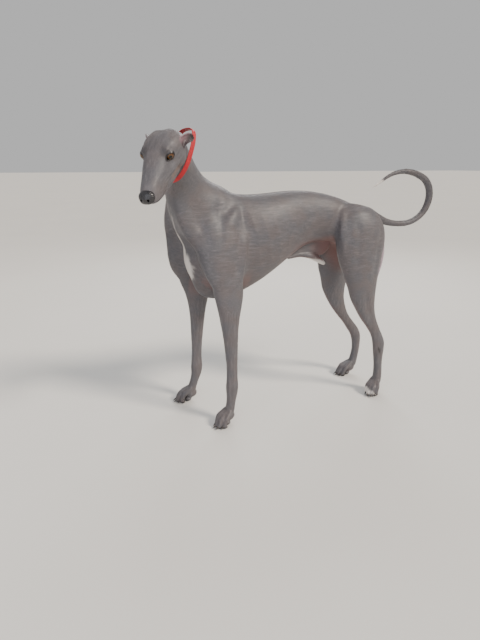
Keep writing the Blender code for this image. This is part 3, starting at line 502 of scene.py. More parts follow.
def strided(rows, stride):
    # the right limb: the left one's levels, moved along y
    return [(z, front + strideAt(stride, z), back + strideAt(stride, z), x, wide)
            for z, front, back, x, wide in rows]


def pair(rows, stride, **options):
    # a left limb and its right partner
    return [levels(rows, **options), mirrored(levels(strided(rows, stride), **options))]


def bothMuscles(stride, start, belly, end, wide, thick):
    # a muscle on the left and its partner, moved with the right limb
    moved = [(x, y + strideAt(stride, z), z) for x, y, z in (start, belly, end)]
    return [muscle(start, belly, end, wide, thick), mirrored(muscle(*moved, wide, thick))]


def massForms():
    limbs = pair(shoulderLevels, foreStride) + pair(thighLevels, hindStride)
    return [trunk(), neck()] + limbs + bothMuscles(foreStride, *throatMuscle)


def reliefForms():
    forms = []
    for stride, muscles in ((foreStride, foreMuscles), (hindStride, hindMuscles)):
        for shape in muscles:
            forms += bothMuscles(stride, *shape)
    return forms


def footForms(name):
    x, y, turn = feet[name]
    side = 1 if "left" in name else -1
    forms = []
    for across, reach in toes:
        path = [(across * inward, back - reach * share, z, radius)
                for inward, share, back, z, radius in toeStations]
        forms.append(tube(path, perSpan=3, sides=12))
        forms.append(ball((across, -reach + toePadPlace[0], toePadPlace[1]), toePad))
    forms += [ball(place, radii) for place, radii in footBalls]
    turned = Matrix.Rotation(math.radians(turn), 3, "Z")
    forms = [(points @ np.array(turned).T, faces) for points, faces in forms]
    if side < 0:
        forms = [mirrored(form) for form in forms]
    return [(points + np.array((x, y, 0.0)), faces) for points, faces in forms]


def limbForms():
    return pair(foreLevels, foreStride) + pair(hindLevels, hindStride) + [tube(tailStations)]


def headFrame():
    turn = Matrix.Rotation(math.radians(headYaw), 3, "Z") @ Matrix.Rotation(math.radians(headPitch), 3, "X")
    return np.array(turn), np.array(headPlace)


def onHead(shell):
    turn, place = headFrame()
    return shell[0] @ turn.T + place, shell[1]


def bothSides(forms):
    return forms + [mirrored(form) for form in forms]


def headForms():
    # skull and jaw, then cheek, cheekbone, brow and temple
    forms = [loft(profiled(skullStations), up=(0, 0, 1), powers=(2.1, 2.6), sides=28, rounding=(0.8, 0.7)),
             loft(profiled(jawStations), up=(0, 0, 1), powers=(2.0, 2.0), sides=24, rounding=(0.5, 0.9))]
    cheekbone = muscle((0.026, -0.040, -0.030), (0.0385, 0.000, -0.026), (0.045, 0.060, -0.012),
                       0.0110, 0.0085, tip=0.7)
    forms += bothSides([
        ball((0.037, 0.042, -0.032), (0.0125, 0.034, 0.028)),
        cheekbone,
        ball((0.0275, 0.010, 0.014), (0.013, 0.020, 0.0105)),
        ball((0.023, 0.052, 0.002), (0.020, 0.036, 0.0200)),
    ])
    return forms


def headSkin():
    points, faces = relaxed(fused(headForms(), headGrain), headRounds)
    return onHead((points, faces))


def lidForms():
    return [onHead(form) for form in bothSides([ball(eyeCentre, (eyeRadius + lidThickness,) * 3)])]


def sheathForms():
    # the sheath hangs on a thin fold from the belly
    fold = [(0.0, 0.290, 0.538, 0.0070, 0.018, 0.018), (0.0, 0.350, 0.545, 0.0060, 0.022, 0.022),
            (0.0, 0.400, 0.545, 0.0060, 0.026, 0.026), (0.0, 0.430, 0.545, 0.0060, 0.030, 0.030),
            (0.0, 0.455, 0.560, 0.0070, 0.020, 0.024)]
    return [tube(sheathStations), loft(fold, up=(0, 0, 1), sides=16)]


def leaf(rows, facing, thickness, extra):
    # a curled leaf with a rim: rows of centre, half width and curl, open towards facing
    rows = smoothRows(rows, 2)
    centres = rows[:, :3].copy()
    along = np.gradient(centres, axis=0)
    along /= np.linalg.norm(along, axis=1)[:, None]
    across = np.cross(along, np.array(facing, float))
    across /= np.linalg.norm(across, axis=1)[:, None]
    inwards = np.cross(across, along)
    centres[0] -= 3 * extra * along[0]
    centres[-1] += extra * along[-1]
    spread = np.linspace(-1.0, 1.0, 8)
    sheets = []
    for offset in (0.5 * thickness + extra, -0.5 * thickness - extra):
        for i in range(len(rows)):
            curl = math.radians(rows[i, 4])
            radius = rows[i, 3] / math.sin(curl)
            angles = spread * (curl + extra / radius)
            bend = radius - offset
            sheets.append(centres[i] + np.outer(bend * np.sin(angles), across[i])
                          + np.outer(radius - bend * np.cos(angles), inwards[i]))
    points = np.concatenate(sheets)
    wide, count = len(spread), len(rows)
    back = wide * count
    faces = []
    for i in range(count - 1):
        for k in range(wide - 1):
            a = i * wide + k
            faces.append((a, a + 1, a + 1 + wide, a + wide))
            faces.append((back + a, back + a + wide, back + a + 1 + wide, back + a + 1))
        for k, turn in ((0, 1), (wide - 1, -1)):
            a = i * wide + k
            faces.append((a, a + wide, back + a + wide, back + a)[::turn])
    for k in range(wide - 1):
        last = (count - 1) * wide + k
        faces.append((k, back + k, back + k + 1, k + 1))
        faces.append((last, last + 1, back + last + 1, back + last))
    return points, faces


def ear(extra=0.0):
    # extra thickens it, to cut its place in the head
    return leaf(earStations, earFacing, earThickness, extra)


def noseLeather(extra=0.0, perSpan=2, sides=20):
    rows = [(0, y, z, wide + extra, up + extra, down + extra) for y, z, wide, up, down in noseStations]
    rows[0] = (0, rows[0][1] + extra, *rows[0][2:])
    return loft(rows, up=(0, 0, 1), powers=(2.2, 2.6), perSpan=perSpan, sides=sides, rounding=(0.3, 0.5))


def lipBlade():
    # a thin band along the line between the lips, reaching in and out of the skin
    line = [(-x, y, z) for x, y, z in lipLine[:0:-1]] + lipLine
    line = smoothRows([(*p, 0.0) for p in line], 2)[:, :3]
    way = np.gradient(line, axis=0)
    outward = np.cross(way, (0, 0, 1))
    outward /= np.linalg.norm(outward, axis=1)[:, None]
    if outward[len(line) // 2][1] > 0:
        outward = -outward
    rise = np.array((0.0, 0.0, 0.5 * lipCut))
    corners = [line - lipDepth * outward - rise, line + lipReach * outward - rise,
               line + lipReach * outward + rise, line - lipDepth * outward + rise]
    points = np.stack(corners, axis=1).reshape(-1, 3)
    faces = [tuple(4 * i + np.array(q)) for i in range(len(line) - 1)
             for q in ((0, 1, 5, 4), (1, 2, 6, 5), (2, 3, 7, 6), (3, 0, 4, 7))]
    last = 4 * (len(line) - 1)
    faces += [(3, 2, 1, 0), (last, last + 1, last + 2, last + 3)]
    return points, faces


def eyeWindow():
    # the almond between the lids of the left eye, drawn out along the eye's axis
    turn = math.radians(eyeOut)
    axis = np.array((math.sin(turn), -math.cos(turn), 0.0))
    across = np.array((math.cos(turn), math.sin(turn), 0.0))
    wide, high = eyeOpening
    sides = 20
    cornerLift, cutLength = 0.0012, 0.035
    outline = []
    for k in range(sides):
        angle = 2 * math.pi * k / sides
        x = math.cos(angle)
        z = math.sin(angle) * abs(math.sin(angle)) ** 0.35
        outline.append(wide * x * across + np.array((0, 0, high * z + cornerLift * x)))
    outline = np.array(outline) + np.array(eyeCentre)
    points = np.concatenate([outline, outline + cutLength * axis])
    faces = [(k, (k + 1) % sides, sides + (k + 1) % sides, sides + k) for k in range(sides)]
    faces += [tuple(range(sides - 1, -1, -1)), tuple(range(sides, 2 * sides))]
    return points, faces


def eyeBall(extra=0.0):
    turn = math.radians(eyeOut)
    axes = ((math.cos(turn), math.sin(turn), 0), (0, 0, 1), (math.sin(turn), -math.cos(turn), 0))
    return ball(eyeCentre, (eyeRadius + extra,) * 3, axes, sides=14, rings=9)


def collarPlane():
    top, throat = np.array(collarTop), np.array(collarThroat)
    down = (throat - top) / np.linalg.norm(throat - top)
    side = np.array(collarSide) - down * np.dot(collarSide, down)
    side /= np.linalg.norm(side)
    ahead = np.cross(side, down)
    if ahead[2] < 0:
        ahead = -ahead
    return (top + throat) / 2, down, side, ahead, np.linalg.norm(throat - top) / 2


def pastCollar(points):
    # how far points lie ahead of the collar's plane, towards the nose
    plane = collarPlane()
    return (points - plane[0]) @ plane[3]


def collar(skin):
    # a band that follows its ellipse, and the skin where that stands out further
    centre, down, side, ahead, half = collarPlane()
    tree = BVHTree.FromPolygons(skin[0].tolist(), skin[1])
    reaches = []
    angles = np.linspace(0.0, 2 * math.pi, collarSides, endpoint=False)
    for angle in angles:
        way = math.cos(angle) * down + math.sin(angle) * side
        power = collarPowers[0] if math.cos(angle) > 0 else collarPowers[1]
        lengthwise, sideways = abs(math.cos(angle) / half), abs(math.sin(angle) / collarHalfWidth)
        reach = (lengthwise ** power + sideways ** power) ** (-1 / power)
        for edge in (-0.5, 0.0, 0.5):
            start = centre + edge * collarBand[0] * ahead + castFrom * way
            hit = tree.ray_cast(Vector(start), Vector(-way), castFrom)
            if hit[0] is not None:
                reach = max(reach, castFrom - hit[3] + collarClear)
        reaches.append(reach)
    reaches = np.array(reaches)
    for _ in range(3):
        mean = (np.roll(reaches, 1) + np.roll(reaches, -1)) / 2
        reaches = np.maximum(reaches, mean)
    wide, thick = collarBand
    section = [(-0.5, 0.0), (0.5, 0.0), (0.5, 1.0), (-0.5, 1.0)]
    points = []
    for angle, reach in zip(angles, reaches):
        way = math.cos(angle) * down + math.sin(angle) * side
        points += [centre + (reach + high * thick) * way + along * wide * ahead for along, high in section]
    faces = []
    for i in range(collarSides):
        a, b = 4 * i, 4 * ((i + 1) % collarSides)
        faces += [(a + k, a + (k + 1) % 4, b + (k + 1) % 4, b + k) for k in range(4)]
    return np.array(points), faces


def outwards(shell):
    # faces turned so that the body's volume counts positive
    mesh = bmesh.new()
    for point in shell[0]:
        mesh.verts.new(point)
    mesh.verts.ensure_lookup_table()
    for face in shell[1]:
        mesh.faces.new([mesh.verts[int(v)] for v in face])
    bmesh.ops.recalc_face_normals(mesh, faces=mesh.faces)
    if mesh.calc_volume(signed=True) < 0:
        bmesh.ops.reverse_faces(mesh, faces=mesh.faces)
    points = np.array([vert.co[:] for vert in mesh.verts])
    mesh.verts.index_update()
    faces = [tuple(vert.index for vert in face.verts) for face in mesh.faces]
    mesh.free()
    return points, faces


def combined(shell, tools, operation):
    # the shell with each tool taken away, kept inside or added
    obj = asObject("work", shell)
    helpers = []
    for tool in tools:
        helper = asObject("tool", outwards(tool))
        boolean = obj.modifiers.new("Boolean", "BOOLEAN")
        boolean.operation = operation
        boolean.solver = "EXACT"
        boolean.object = helper
        helpers.append(helper)
    result = asShell(obj)
    for helper in helpers + [obj]:
        discard(helper)
    return result


def simplified(shell, share, held):
    # fewer faces, least so where held is near 1
    obj = asObject("fine", shell)
    group = obj.vertex_groups.new(name="Held")
    for k, weight in enumerate(held):
        if weight > 0:
            group.add([k], float(weight), "REPLACE")
    decimate = obj.modifiers.new("Decimate", "DECIMATE")
    decimate.ratio = share
    decimate.vertex_group = group.name
    decimate.vertex_group_factor = keepStrength
    decimate.invert_vertex_group = True
    result = asShell(obj)
    discard(obj)
    return result


def beyond(place, normal, start):
    # everything further than start along the normal, as a box
    normal = Vector(normal).normalized()
    turn = np.array(normal.to_track_quat("Z", "Y").to_matrix())
    corners = np.array([(x, y, z) for z in (0, 2) for y in (-1, 1) for x in (-1, 1)], float)
    corners = corners @ turn.T + np.array(place) + start * np.array(normal)
    return corners, [(0, 2, 3, 1), (4, 5, 7, 6), (0, 1, 5, 4), (2, 6, 7, 3), (0, 4, 6, 2), (1, 3, 7, 5)]


def largest(shell):
    # the largest closed surface of a shell
    points, faces = shell
    times = Counter(tuple(sorted(face)) for face in faces)
    mesh = bmesh.new()
    for point in points:
        mesh.verts.new(point)
    mesh.verts.ensure_lookup_table()
    for face in faces:
        if times[tuple(sorted(face))] == 1:
            mesh.faces.new([mesh.verts[v] for v in face])
    bmesh.ops.triangulate(mesh, faces=mesh.faces)
    bmesh.ops.remove_doubles(mesh, verts=mesh.verts, dist=0.00001)
    bmesh.ops.dissolve_degenerate(mesh, dist=0.000005, edges=mesh.edges)
    bmesh.ops.triangulate(mesh, faces=mesh.faces)
    left = set(mesh.faces)
    best = []
    while left:
        seed = left.pop()
        island, queue = [seed], [seed]
        while queue:
            for edge in queue.pop().edges:
                for face in edge.link_faces:
                    if face in left and len(edge.link_faces) == 2:
                        left.discard(face)
                        island.append(face)
                        queue.append(face)
        if len(island) > len(best):
            best = island
    keep = set(best)
    bmesh.ops.delete(mesh, geom=[face for face in mesh.faces if face not in keep], context="FACES")
    mesh.verts.index_update()
    points = np.array([vert.co[:] for vert in mesh.verts])
    faces = [tuple(vert.index for vert in face.verts) for face in mesh.faces]
    mesh.free()
    return points, faces


# What the eye sees of the skin
skinLook = {
    "grain": 0.0018,            # metres, the finest squares it is modelled in
    "rounds": 5,                # smoothing after that
    "underCoat": 0.0006,        # how deep the skin lies under the coat's surface
    "triangles": 175000,
    "spineDepth": 0.0020,       # furrow along the back
    "spineWidth": 0.0110,
    "ribHeight": 0.0012,
    "ribWidth": 0.0070,
    "ribTop": 0.665,            # height at which a rib starts to show
    "ribDrop": 0.16,            # how far down it shows from there
    "muscleDepth": 0.0026,      # furrows between the muscles
    "muscleWidth": 0.0115,
    "foldAhead": 0.006,         # how far the lids' folds stand out along the eye's axis
    "foldFlatness": 0.82,
}


def normalsOf(points, faces):
    corners = np.array([face[:3] for face in faces])
    first, second, third = (points[corners[:, k]] for k in range(3))
    cross = np.cross(second - first, third - first)
    normals = np.zeros_like(points)
    for k in range(3):
        for axis in range(3):
            normals[:, axis] += np.bincount(corners[:, k], cross[:, axis], len(points))
    return normals / (np.linalg.norm(normals, axis=1)[:, None] + 1e-12)


def nearPath(points, path, reach):
    # for the points near a path: which they are, how far off and how far along it, 0 to 1
    path = np.array(path, float)
    steps = np.linalg.norm(np.diff(path, axis=0), axis=1)
    at = np.concatenate([[0.0], np.cumsum(steps)])
    fine = np.linspace(0.0, at[-1], max(4, int(at[-1] / (0.35 * reach)) + 2))
    samples = np.stack([np.interp(fine, at, path[:, k]) for k in range(3)], axis=1)
    low, high = samples.min(axis=0) - 2 * reach, samples.max(axis=0) + 2 * reach
    near = np.nonzero(np.all((points > low) & (points < high), axis=1))[0]
    best = np.full(len(near), 1e9)
    along = np.zeros(len(near))
    for k, sample in enumerate(samples):
        distance = np.linalg.norm(points[near] - sample, axis=1)
        closer = distance < best
        best[closer] = distance[closer]
        along[closer] = k / (len(samples) - 1)
    return near, best, along


def drawn(points, normals, path, width, height):
    # a ridge (height above 0) or furrow (below 0) that fades out at both ends
    near, distance, along = nearPath(points, path, width)
    fade = np.clip(4 * np.minimum(along, 1 - along) + 0.25, 0.0, 1.0)
    points[near] += normals[near] * (height * fade * np.exp(-(distance / width) ** 2))[:, None]


def flankPoint(tree, y, z, side, away=0.4, reach=0.6, missed=0.08):
    # where a ray from one side meets the skin
    hit = tree.ray_cast(Vector((side * away, y, z)), Vector((-side, 0, 0)), reach)[0]
    return tuple(hit) if hit is not None else (side * missed, y, z)


# Furrows between the muscles of a flank: y, z
furrows = [
    [(-0.034, 0.650), (-0.019, 0.626), (-0.014, 0.603), (-0.005, 0.573)],
    [(0.045, 0.725), (0.038, 0.680), (0.035, 0.640), (0.028, 0.590), (0.017, 0.572)],
    [(0.083, 0.627), (0.090, 0.552), (0.076, 0.507), (0.050, 0.479), (0.030, 0.418)],
    [(0.110, 0.690), (0.112, 0.640), (0.104, 0.590)],
    [(0.598, 0.630), (0.585, 0.560), (0.575, 0.500), (0.572, 0.440)],
    [(0.500, 0.640), (0.505, 0.580), (0.500, 0.520), (0.495, 0.470)],
    [(0.540, 0.400), (0.560, 0.340), (0.590, 0.270)],
    [(0.480, 0.690), (0.440, 0.650), (0.420, 0.600)],
]
# Ribs of a flank: y at the top, y at the bottom
ribs = [(0.135, 0.165), (0.170, 0.205), (0.205, 0.245), (0.240, 0.285), (0.275, 0.322), (0.310, 0.355)]
# Folds round the left eye: radius, first and last angle, width, height
lidFolds = [
    (0.0158, 20, 165, 0.0014, -0.0011),
    (0.0178, 200, 345, 0.0016, -0.0010),
    (0.0202, 205, 340, 0.0022, 0.0008),
    (0.0190, 30, 150, 0.0026, 0.0009),
]
# Folds of the head in its own frame, on the middle line or on the left: path, width, height
headFolds = [
    ([(0.0, -0.098, -0.016), (0.0, -0.070, -0.001), (0.0, -0.030, 0.014)], 0.0040, -0.0009),
    ([(0.0, 0.000, 0.030), (0.0, 0.030, 0.034), (0.0, 0.070, 0.024)], 0.0050, -0.0012),
    ([(0.026, -0.030, -0.020), (0.027, -0.055, -0.030), (0.024, -0.080, -0.036)], 0.0040, -0.0010),
    ([(0.044, 0.004, -0.050), (0.047, 0.018, -0.056), (0.046, 0.034, -0.060)], 0.0022, -0.0012),
    ([(0.041, -0.004, -0.036), (0.045, 0.008, -0.043), (0.047, 0.020, -0.047)], 0.0022, -0.0009),
    ([(0.036, -0.020, -0.058), (0.033, -0.045, -0.062), (0.027, -0.070, -0.064)], 0.0040, 0.0011),
]
# A box round the left ear in the head's frame, and how firmly its points stay when the skin is smoothed
earBox = {"front": 0.058, "back": 0.11, "inner": 0.046, "low": -0.055, "hold": 0.75}


def lidArc(radius, start, end):
    turn = math.radians(eyeOut)
    across = np.array((math.cos(turn), math.sin(turn), 0.0))
    axis = np.array((math.sin(turn), -math.cos(turn), 0.0))
    return [np.array(eyeCentre) + radius * (math.cos(math.radians(a)) * across
            + skinLook["foldFlatness"] * math.sin(math.radians(a)) * np.array((0, 0, 1)))
            + skinLook["foldAhead"] * axis for a in np.linspace(start, end, 9)]


def sculpted(shell):
    # muscles, ribs, spine and the head's folds, drawn into the skin
    points, faces = shell
    normals = normalsOf(points, faces)
    tree = BVHTree.FromPolygons(points.tolist(), faces)
    for side in (1, -1):
        for furrow in furrows:
            path = [flankPoint(tree, y, z, side) for y, z in furrow]
            drawn(points, normals, path, skinLook["muscleWidth"], -skinLook["muscleDepth"])
        for top, bottom in ribs:
            places = [(top + (bottom - top) * t, skinLook["ribTop"] - skinLook["ribDrop"] * t)
                      for t in (0, 0.3, 0.6, 1)]
            path = [flankPoint(tree, y, z, side) for y, z in places]
            drawn(points, normals, path, skinLook["ribWidth"], skinLook["ribHeight"])
    spine = [(0.0, row[0], row[1]) for row in trunkStations if 0.0 < row[0] < 0.56]
    drawn(points, normals, spine, skinLook["spineWidth"], -skinLook["spineDepth"])
    folds = [(lidArc(*fold[:3]), *fold[3:]) for fold in lidFolds] + headFolds
    for path, width, height in folds:
        for side in ((1, -1) if path[0][0] else (1,)):
            placed = onHead((np.array(path) * np.array((side, 1, 1)), []))[0]
            drawn(points, normals, placed, width, height)
    return points, faces


def dogSkin():
    body = relaxed(fused(massForms(), massGrain), massRounds)
    body = relaxed(fused([body] + reliefForms() + limbForms(), limbGrain), limbRounds)
    forms = [body, headSkin()] + lidForms() + sheathForms()
    forms += [onHead(form) for form in bothSides([outwards(ear())])]
    for name in feet:
        forms += footForms(name)
    points, faces = fused(forms, skinLook["grain"])
    across, back, up = ((points - headFrame()[1]) @ headFrame()[0]).T
    hold = earBox["hold"] * ((back > earBox["front"]) & (np.abs(across) > earBox["inner"])
                             & (up > earBox["low"]) & (back < earBox["back"]))
    points, faces = relaxed((points, faces), skinLook["rounds"], hold)
    points, faces = sculpted((points, faces))
    points = points - skinLook["underCoat"] * normalsOf(points, faces)
    share = skinLook["triangles"] / sum(len(face) - 2 for face in faces)
    isHead = np.clip(pastCollar(points) / 0.03 - 1.0, 0.0, 1.0) * (points[:, 2] > headLow)
    skin = simplified((points, faces), share, headHeld * isHead)
    tools = [eyeBall(fit), eyeWindow()]
    tools = [onHead(tool) for tool in bothSides(tools) + [noseLeather(fit), lipBlade()]]
    tools.append(beyond((0, 0, 0), (0, 0, -1), 0))    # the floor cuts the soles flat
    return largest(combined(skin, tools, "DIFFERENCE"))


# Where the coat isn't plain blue grey: paths in metres with a radius, in the dog's own place
markings = {
    "throatStripe": [(0.036, -0.088, 0.728, 0.0050), (0.026, -0.094, 0.700, 0.0060),
                     (0.014, -0.090, 0.665, 0.0060), (0.004, -0.078, 0.625, 0.0065),
                     (0.000, -0.064, 0.575, 0.0080), (0.000, -0.056, 0.545, 0.0110)],
    "chestPatch": [(0.006, -0.052, 0.540, 0.0150), (0.002, -0.044, 0.515, 0.0230),
                   (0.000, -0.030, 0.490, 0.0200)],
    "toePatch": [(0.083, 0.592, 0.012, 0.0150), (0.100, 0.590, 0.012, 0.0180),
                 (0.112, 0.600, 0.012, 0.0140)],
    "tailTip": [(0.000, 0.645, 0.752, 0.0150), (0.000, 0.600, 0.725, 0.0220)],
    "sheathFold": [(0.000, 0.360, 0.505, 0.0060), (0.000, 0.395, 0.500, 0.0120),
                   (0.000, 0.440, 0.480, 0.0160)],
    # the back of the left thigh: worn, thin-coated skin with a painted highlight
    "litBareThigh": [(0.082, 0.636, 0.622, 0.0150), (0.084, 0.640, 0.580, 0.0230),
                  (0.088, 0.634, 0.520, 0.0240), (0.092, 0.618, 0.460, 0.0190),
                  (0.092, 0.608, 0.405, 0.0110)],
    "hockMark": [(0.102, 0.625, 0.176, 0.0030), (0.101, 0.632, 0.166, 0.0030)],
}
whiteMarkings = ("throatStripe", "chestPatch", "toePatch", "tailTip", "sheathFold")


def softly(value, low, high):
    # 0 below low, 1 above high, smooth between them
    share = np.clip((value - low) / (high - low), 0.0, 1.0)
    return share * share * (3 - 2 * share)


def wavy(points, size, seed):
    # a smooth, repeatable unevenness between about -1 and 1, in waves of about the size
    rng = np.random.default_rng(seed)
    total = np.zeros(len(points))
    for _ in range(7):
        way = rng.normal(size=3)
        way /= np.linalg.norm(way)
        total += np.sin(points @ way * (2 * math.pi / size) * rng.uniform(0.6, 1.7) + rng.uniform(0, 7))
    return total / 3.0


def along(points, path, edge, seed):
    # 1 inside a marking, 0 outside, with a ragged edge of the given width
    path = np.array(path, float)
    value = np.zeros(len(points))
    uneven = 0.5 * wavy(points, 0.016, seed) + 0.35 * wavy(points, 0.006, seed + 1)
    for a, b in zip(path[:-1], path[1:]):
        way = b[:3] - a[:3]
        t = np.clip((points - a[:3]) @ way / (way @ way), 0.0, 1.0)
        distance = np.linalg.norm(points - (a[:3] + np.outer(t, way)), axis=1)
        radius = a[3] + t * (b[3] - a[3])
        value = np.maximum(value, softly((radius - distance) / edge + uneven, -1.0, 1.0))
    return value


def regionsOf(points):
    # shares of head, neck, tail and limbs, and each point in the head's own frame
    local = (points - headFrame()[1]) @ headFrame()[0]
    head = softly(pastCollar(points), 0.004, 0.022) * (points[:, 2] > headLow)
    place, normal = np.array(neckBase[0]), np.array(neckBase[1])
    neckShare = softly((points - place) @ (normal / np.linalg.norm(normal)), -0.03, 0.03) * (1 - head)
    neckShare *= points[:, 1] < 0.16
    tail = softly(points[:, 1], 0.640, 0.668) * (points[:, 2] > 0.592)
    tail = np.clip(tail + softly(points[:, 2], 0.70, 0.72) * (points[:, 1] > 0.58), 0, 1)
    tail *= np.abs(points[:, 0]) < 0.03
    limb = softly(-points[:, 2], -0.46, -0.38) * (1 - head) * softly(np.abs(points[:, 0]), 0.030, 0.052)
    return local, head, neckShare, tail, limb


def paint(points, normals):
    # how much of each marking, hairless place, painted highlight and painted shade a point has
    local, head = regionsOf(points)[:2]
    x, y, z = points.T
    white = np.zeros(len(points))
    for k, name in enumerate(whiteMarkings):
        white = np.maximum(white, along(points, markings[name], 0.0035, 10 + 3 * k))
    # the worn back of the left thigh: partly real thin-coated skin, partly a painted highlight where light
    # falls on it
    litBare = along(points, markings["litBareThigh"], 0.0060, 40) * softly(normals[:, 1], -0.1, 0.5)
    dark = along(points, markings["hockMark"], 0.0012, 50)
    # belly, groin and inside of the thighs: thin pink-grey coat
    belly = softly(y, 0.20, 0.34) * softly(-normals[:, 2], 0.25, 0.85) * softly(-z, -0.60, -0.56)
    groin = softly(y, 0.36, 0.44) * softly(-y, -0.60, -0.54) * softly(z, 0.40, 0.47)
    groin *= softly(-z, -0.60, -0.565) * softly(-np.abs(x), -0.060, -0.035)
    brisket = softly(-normals[:, 2], 0.5, 0.95) * softly(y, 0.02, 0.10) * (y < 0.3)
    brisket *= z > 0.38
    armpit = softly(-np.abs(x), -0.085, -0.060) * (y > -0.03) * (y < 0.14)
    armpit *= softly(z, 0.385, 0.41) * softly(-z, -0.50, -0.46) * (np.abs(x) > 0.035)
    thin = np.clip(np.maximum.reduce([0.8 * belly, groin, 0.55 * brisket, 0.5 * armpit]), 0.0, 1.0)
    # the head's hairless edges: lid rims, lips, inside of the ears; and painted shade above each eye and in
    # each ear's hollow
    lip, inner, earHollowShade, corner = (np.zeros(len(points)) for _ in range(4))
    leftward = np.stack([np.abs(local[:, 0]), local[:, 1], local[:, 2]], axis=1)
    fromEye = leftward - np.array(eyeCentre)
    turn = math.radians(eyeOut)
    wide = fromEye @ np.array((math.cos(turn), math.sin(turn), 0.0))
    out = fromEye @ np.array((math.sin(turn), -math.cos(turn), 0.0))
    oval = np.hypot(wide / eyeOpening[0], fromEye[:, 2] / (eyeOpening[1] * 1.05))
    rim = softly(-oval, -1.42, -1.16) * (out > 0) * head
    # painted shade: a dark patch above the inner corner of each eye, where the brow shades it
    brow = np.hypot((wide + 0.010) / 0.016, (fromEye[:, 2] - 0.013) / 0.010)
    shade = softly(-brow, -1.2, -0.4) * head * (out > -0.01)
    near, distance, way = nearPath(leftward, [(abs(x), y, z) for x, y, z in lipLine], 0.006)
    lip[near] = np.maximum(lip[near], softly(-distance, -0.0052, -0.0018))
    lip *= head
    near, distance, way = nearPath(leftward, [lipLine[-2], lipLine[-1], (0.044, 0.014, -0.050)], 0.014)
    corner[near] = softly(-distance, -0.015, -0.004) * softly(local[near, 2] * -1, 0.030, 0.045)
    corner *= head
    earRows = np.array(earStations)
    near, distance, way = nearPath(leftward, earRows[:-1, :3] + 0.005 * np.array(earFacing), 0.016)
    headNormals = normals @ headFrame()[0]
    headNormals[:, 0] *= np.sign(local[:, 0] + 1e-9)
    facing = headNormals @ (np.array(earFacing) / np.linalg.norm(earFacing))
    inside = softly(-distance, -0.017, -0.011) * softly(facing[near], -0.05, 0.35)
    inside *= leftward[near, 1] > 0.046
    inner[near] = inside * softly(leftward[near, 2], -0.030, -0.006)
    # painted shade in the ear's cup: darker low in the hollow and towards the root
    earHollowShade[near] = inside * softly(-leftward[near, 2], -0.004, 0.014)
    earHollowShade[near] += 0.5 * inside * softly(-way, -0.35, -0.10)
    inner *= head * (1 - 0.5 * np.clip(earHollowShade, 0, 1))
    earHollowShade = np.clip(earHollowShade, 0, 1) * head
    pads = softly(-points[:, 2], -0.0085, -0.0055)
    muzzle = softly(-local[:, 1], 0.075, 0.105) * head
    return {"white": white, "litBare": litBare, "dark": dark, "thin": thin, "rim": rim, "shade": shade,
            "lip": lip, "corner": corner, "inner": inner, "earHollowShade": earHollowShade, "pads": pads, "muzzle": muzzle}


def neckAxis():
    way = np.array(neckStations[2][:3]) - np.array(neckStations[-1][:3])
    return way / np.linalg.norm(way)


def layOf(points, normals):
    # the way the hair lies: back over the head, down the neck, back along the body, down the limbs
    head, neckShare, tail, limb = regionsOf(points)[1:]
    lay = np.tile(np.array((0.0, 1.0, -0.35)), (len(points), 1))
    tailRows = np.array(tailStations)[:, :3]
    tangents = np.gradient(tailRows, axis=0)
    tangents /= np.linalg.norm(tangents, axis=1)[:, None]
    nearest = np.argmin(((points[:, None, :] - tailRows[None, :, :]) ** 2).sum(axis=2), axis=1)
    for share, way in ((limb, np.array((0.0, 0.25, -1.0))), (neckShare, neckAxis()),
                       (head, headFrame()[0] @ np.array((0.0, 1.0, -0.15)))):
        lay = lay * (1 - share[:, None]) + way * share[:, None]
    lay = lay * (1 - tail[:, None]) + tangents[nearest] * tail[:, None]
    lay += 0.10 * np.stack([wavy(points, 0.05, seed) for seed in (1, 2, 3)], axis=1)
    lay -= normals * (lay * normals).sum(axis=1)[:, None]
    return lay / (np.linalg.norm(lay, axis=1)[:, None] + 1e-9)


def unrolled(points):
    # the skin laid flat: each part round its own axis, in its own cell of a 4 by 3 sheet
    local, head, neckShare, tail, limb = regionsOf(points)
    u = np.zeros(len(points))
    v = np.zeros(len(points))
    x, y, z = points.T

    def put(mask, cell, angle, way):
        u[mask] = (cell % 4 + 0.5 + 0.46 * angle[mask] / math.pi) / 4
        v[mask] = (cell // 4 + 0.04 + 0.92 * np.clip(way[mask], 0, 1)) / 3

    isHead, isTail = head > 0.5, tail > 0.5
    isNeck = (neckShare > 0.5) & ~isHead
    isFore = (limb > 0.5) & (y < 0.3)
    isHind = (limb > 0.5) & (y >= 0.3)
    rest = ~(isHead | isTail | isNeck | isFore | isHind)
    across, back, up = local.T
    for k, side, half, headHalf in ((0, 1, x >= 0, across >= 0), (1, -1, x < 0, across < 0)):
        put(rest & half, k, np.arctan2(side * x, z - 0.58) * 2 - math.pi, (y + 0.1) / 0.8)
        headAngle = np.arctan2(side * across, up + 0.02) * 2 - math.pi
        put(isHead & headHalf, 2 + k, headAngle, (back + 0.13) / 0.27)
    put(isNeck, 4, np.arctan2(x - 0.05, -y - 0.08), (z - 0.66) / 0.27)
    put(isTail, 5, np.arctan2(x, 0.5 * (z - 0.69) + 0.5 * (y - 0.76)), (z - 0.58) / 0.24)
    limbs = ((isFore & (x > 0), 0.100, 0.055), (isFore & (x <= 0), -0.100, 0.000),
             (isHind & (x > 0), 0.088, 0.600), (isHind & (x <= 0), -0.088, 0.600))
    for k, (mask, middleX, middleY) in enumerate(limbs):
        put(mask, 6 + k, np.arctan2(x - middleX, y - middleY), z / 0.47)
    return np.stack([u, v], axis=1)


def addAttribute(mesh, name, values, kind="FLOAT"):
    attribute = mesh.attributes.new(name, kind, "POINT")
    key = {"FLOAT": "value", "FLOAT_VECTOR": "vector", "FLOAT2": "vector"}[kind]
    attribute.data.foreach_set(key, np.asarray(values, np.float32).ravel())


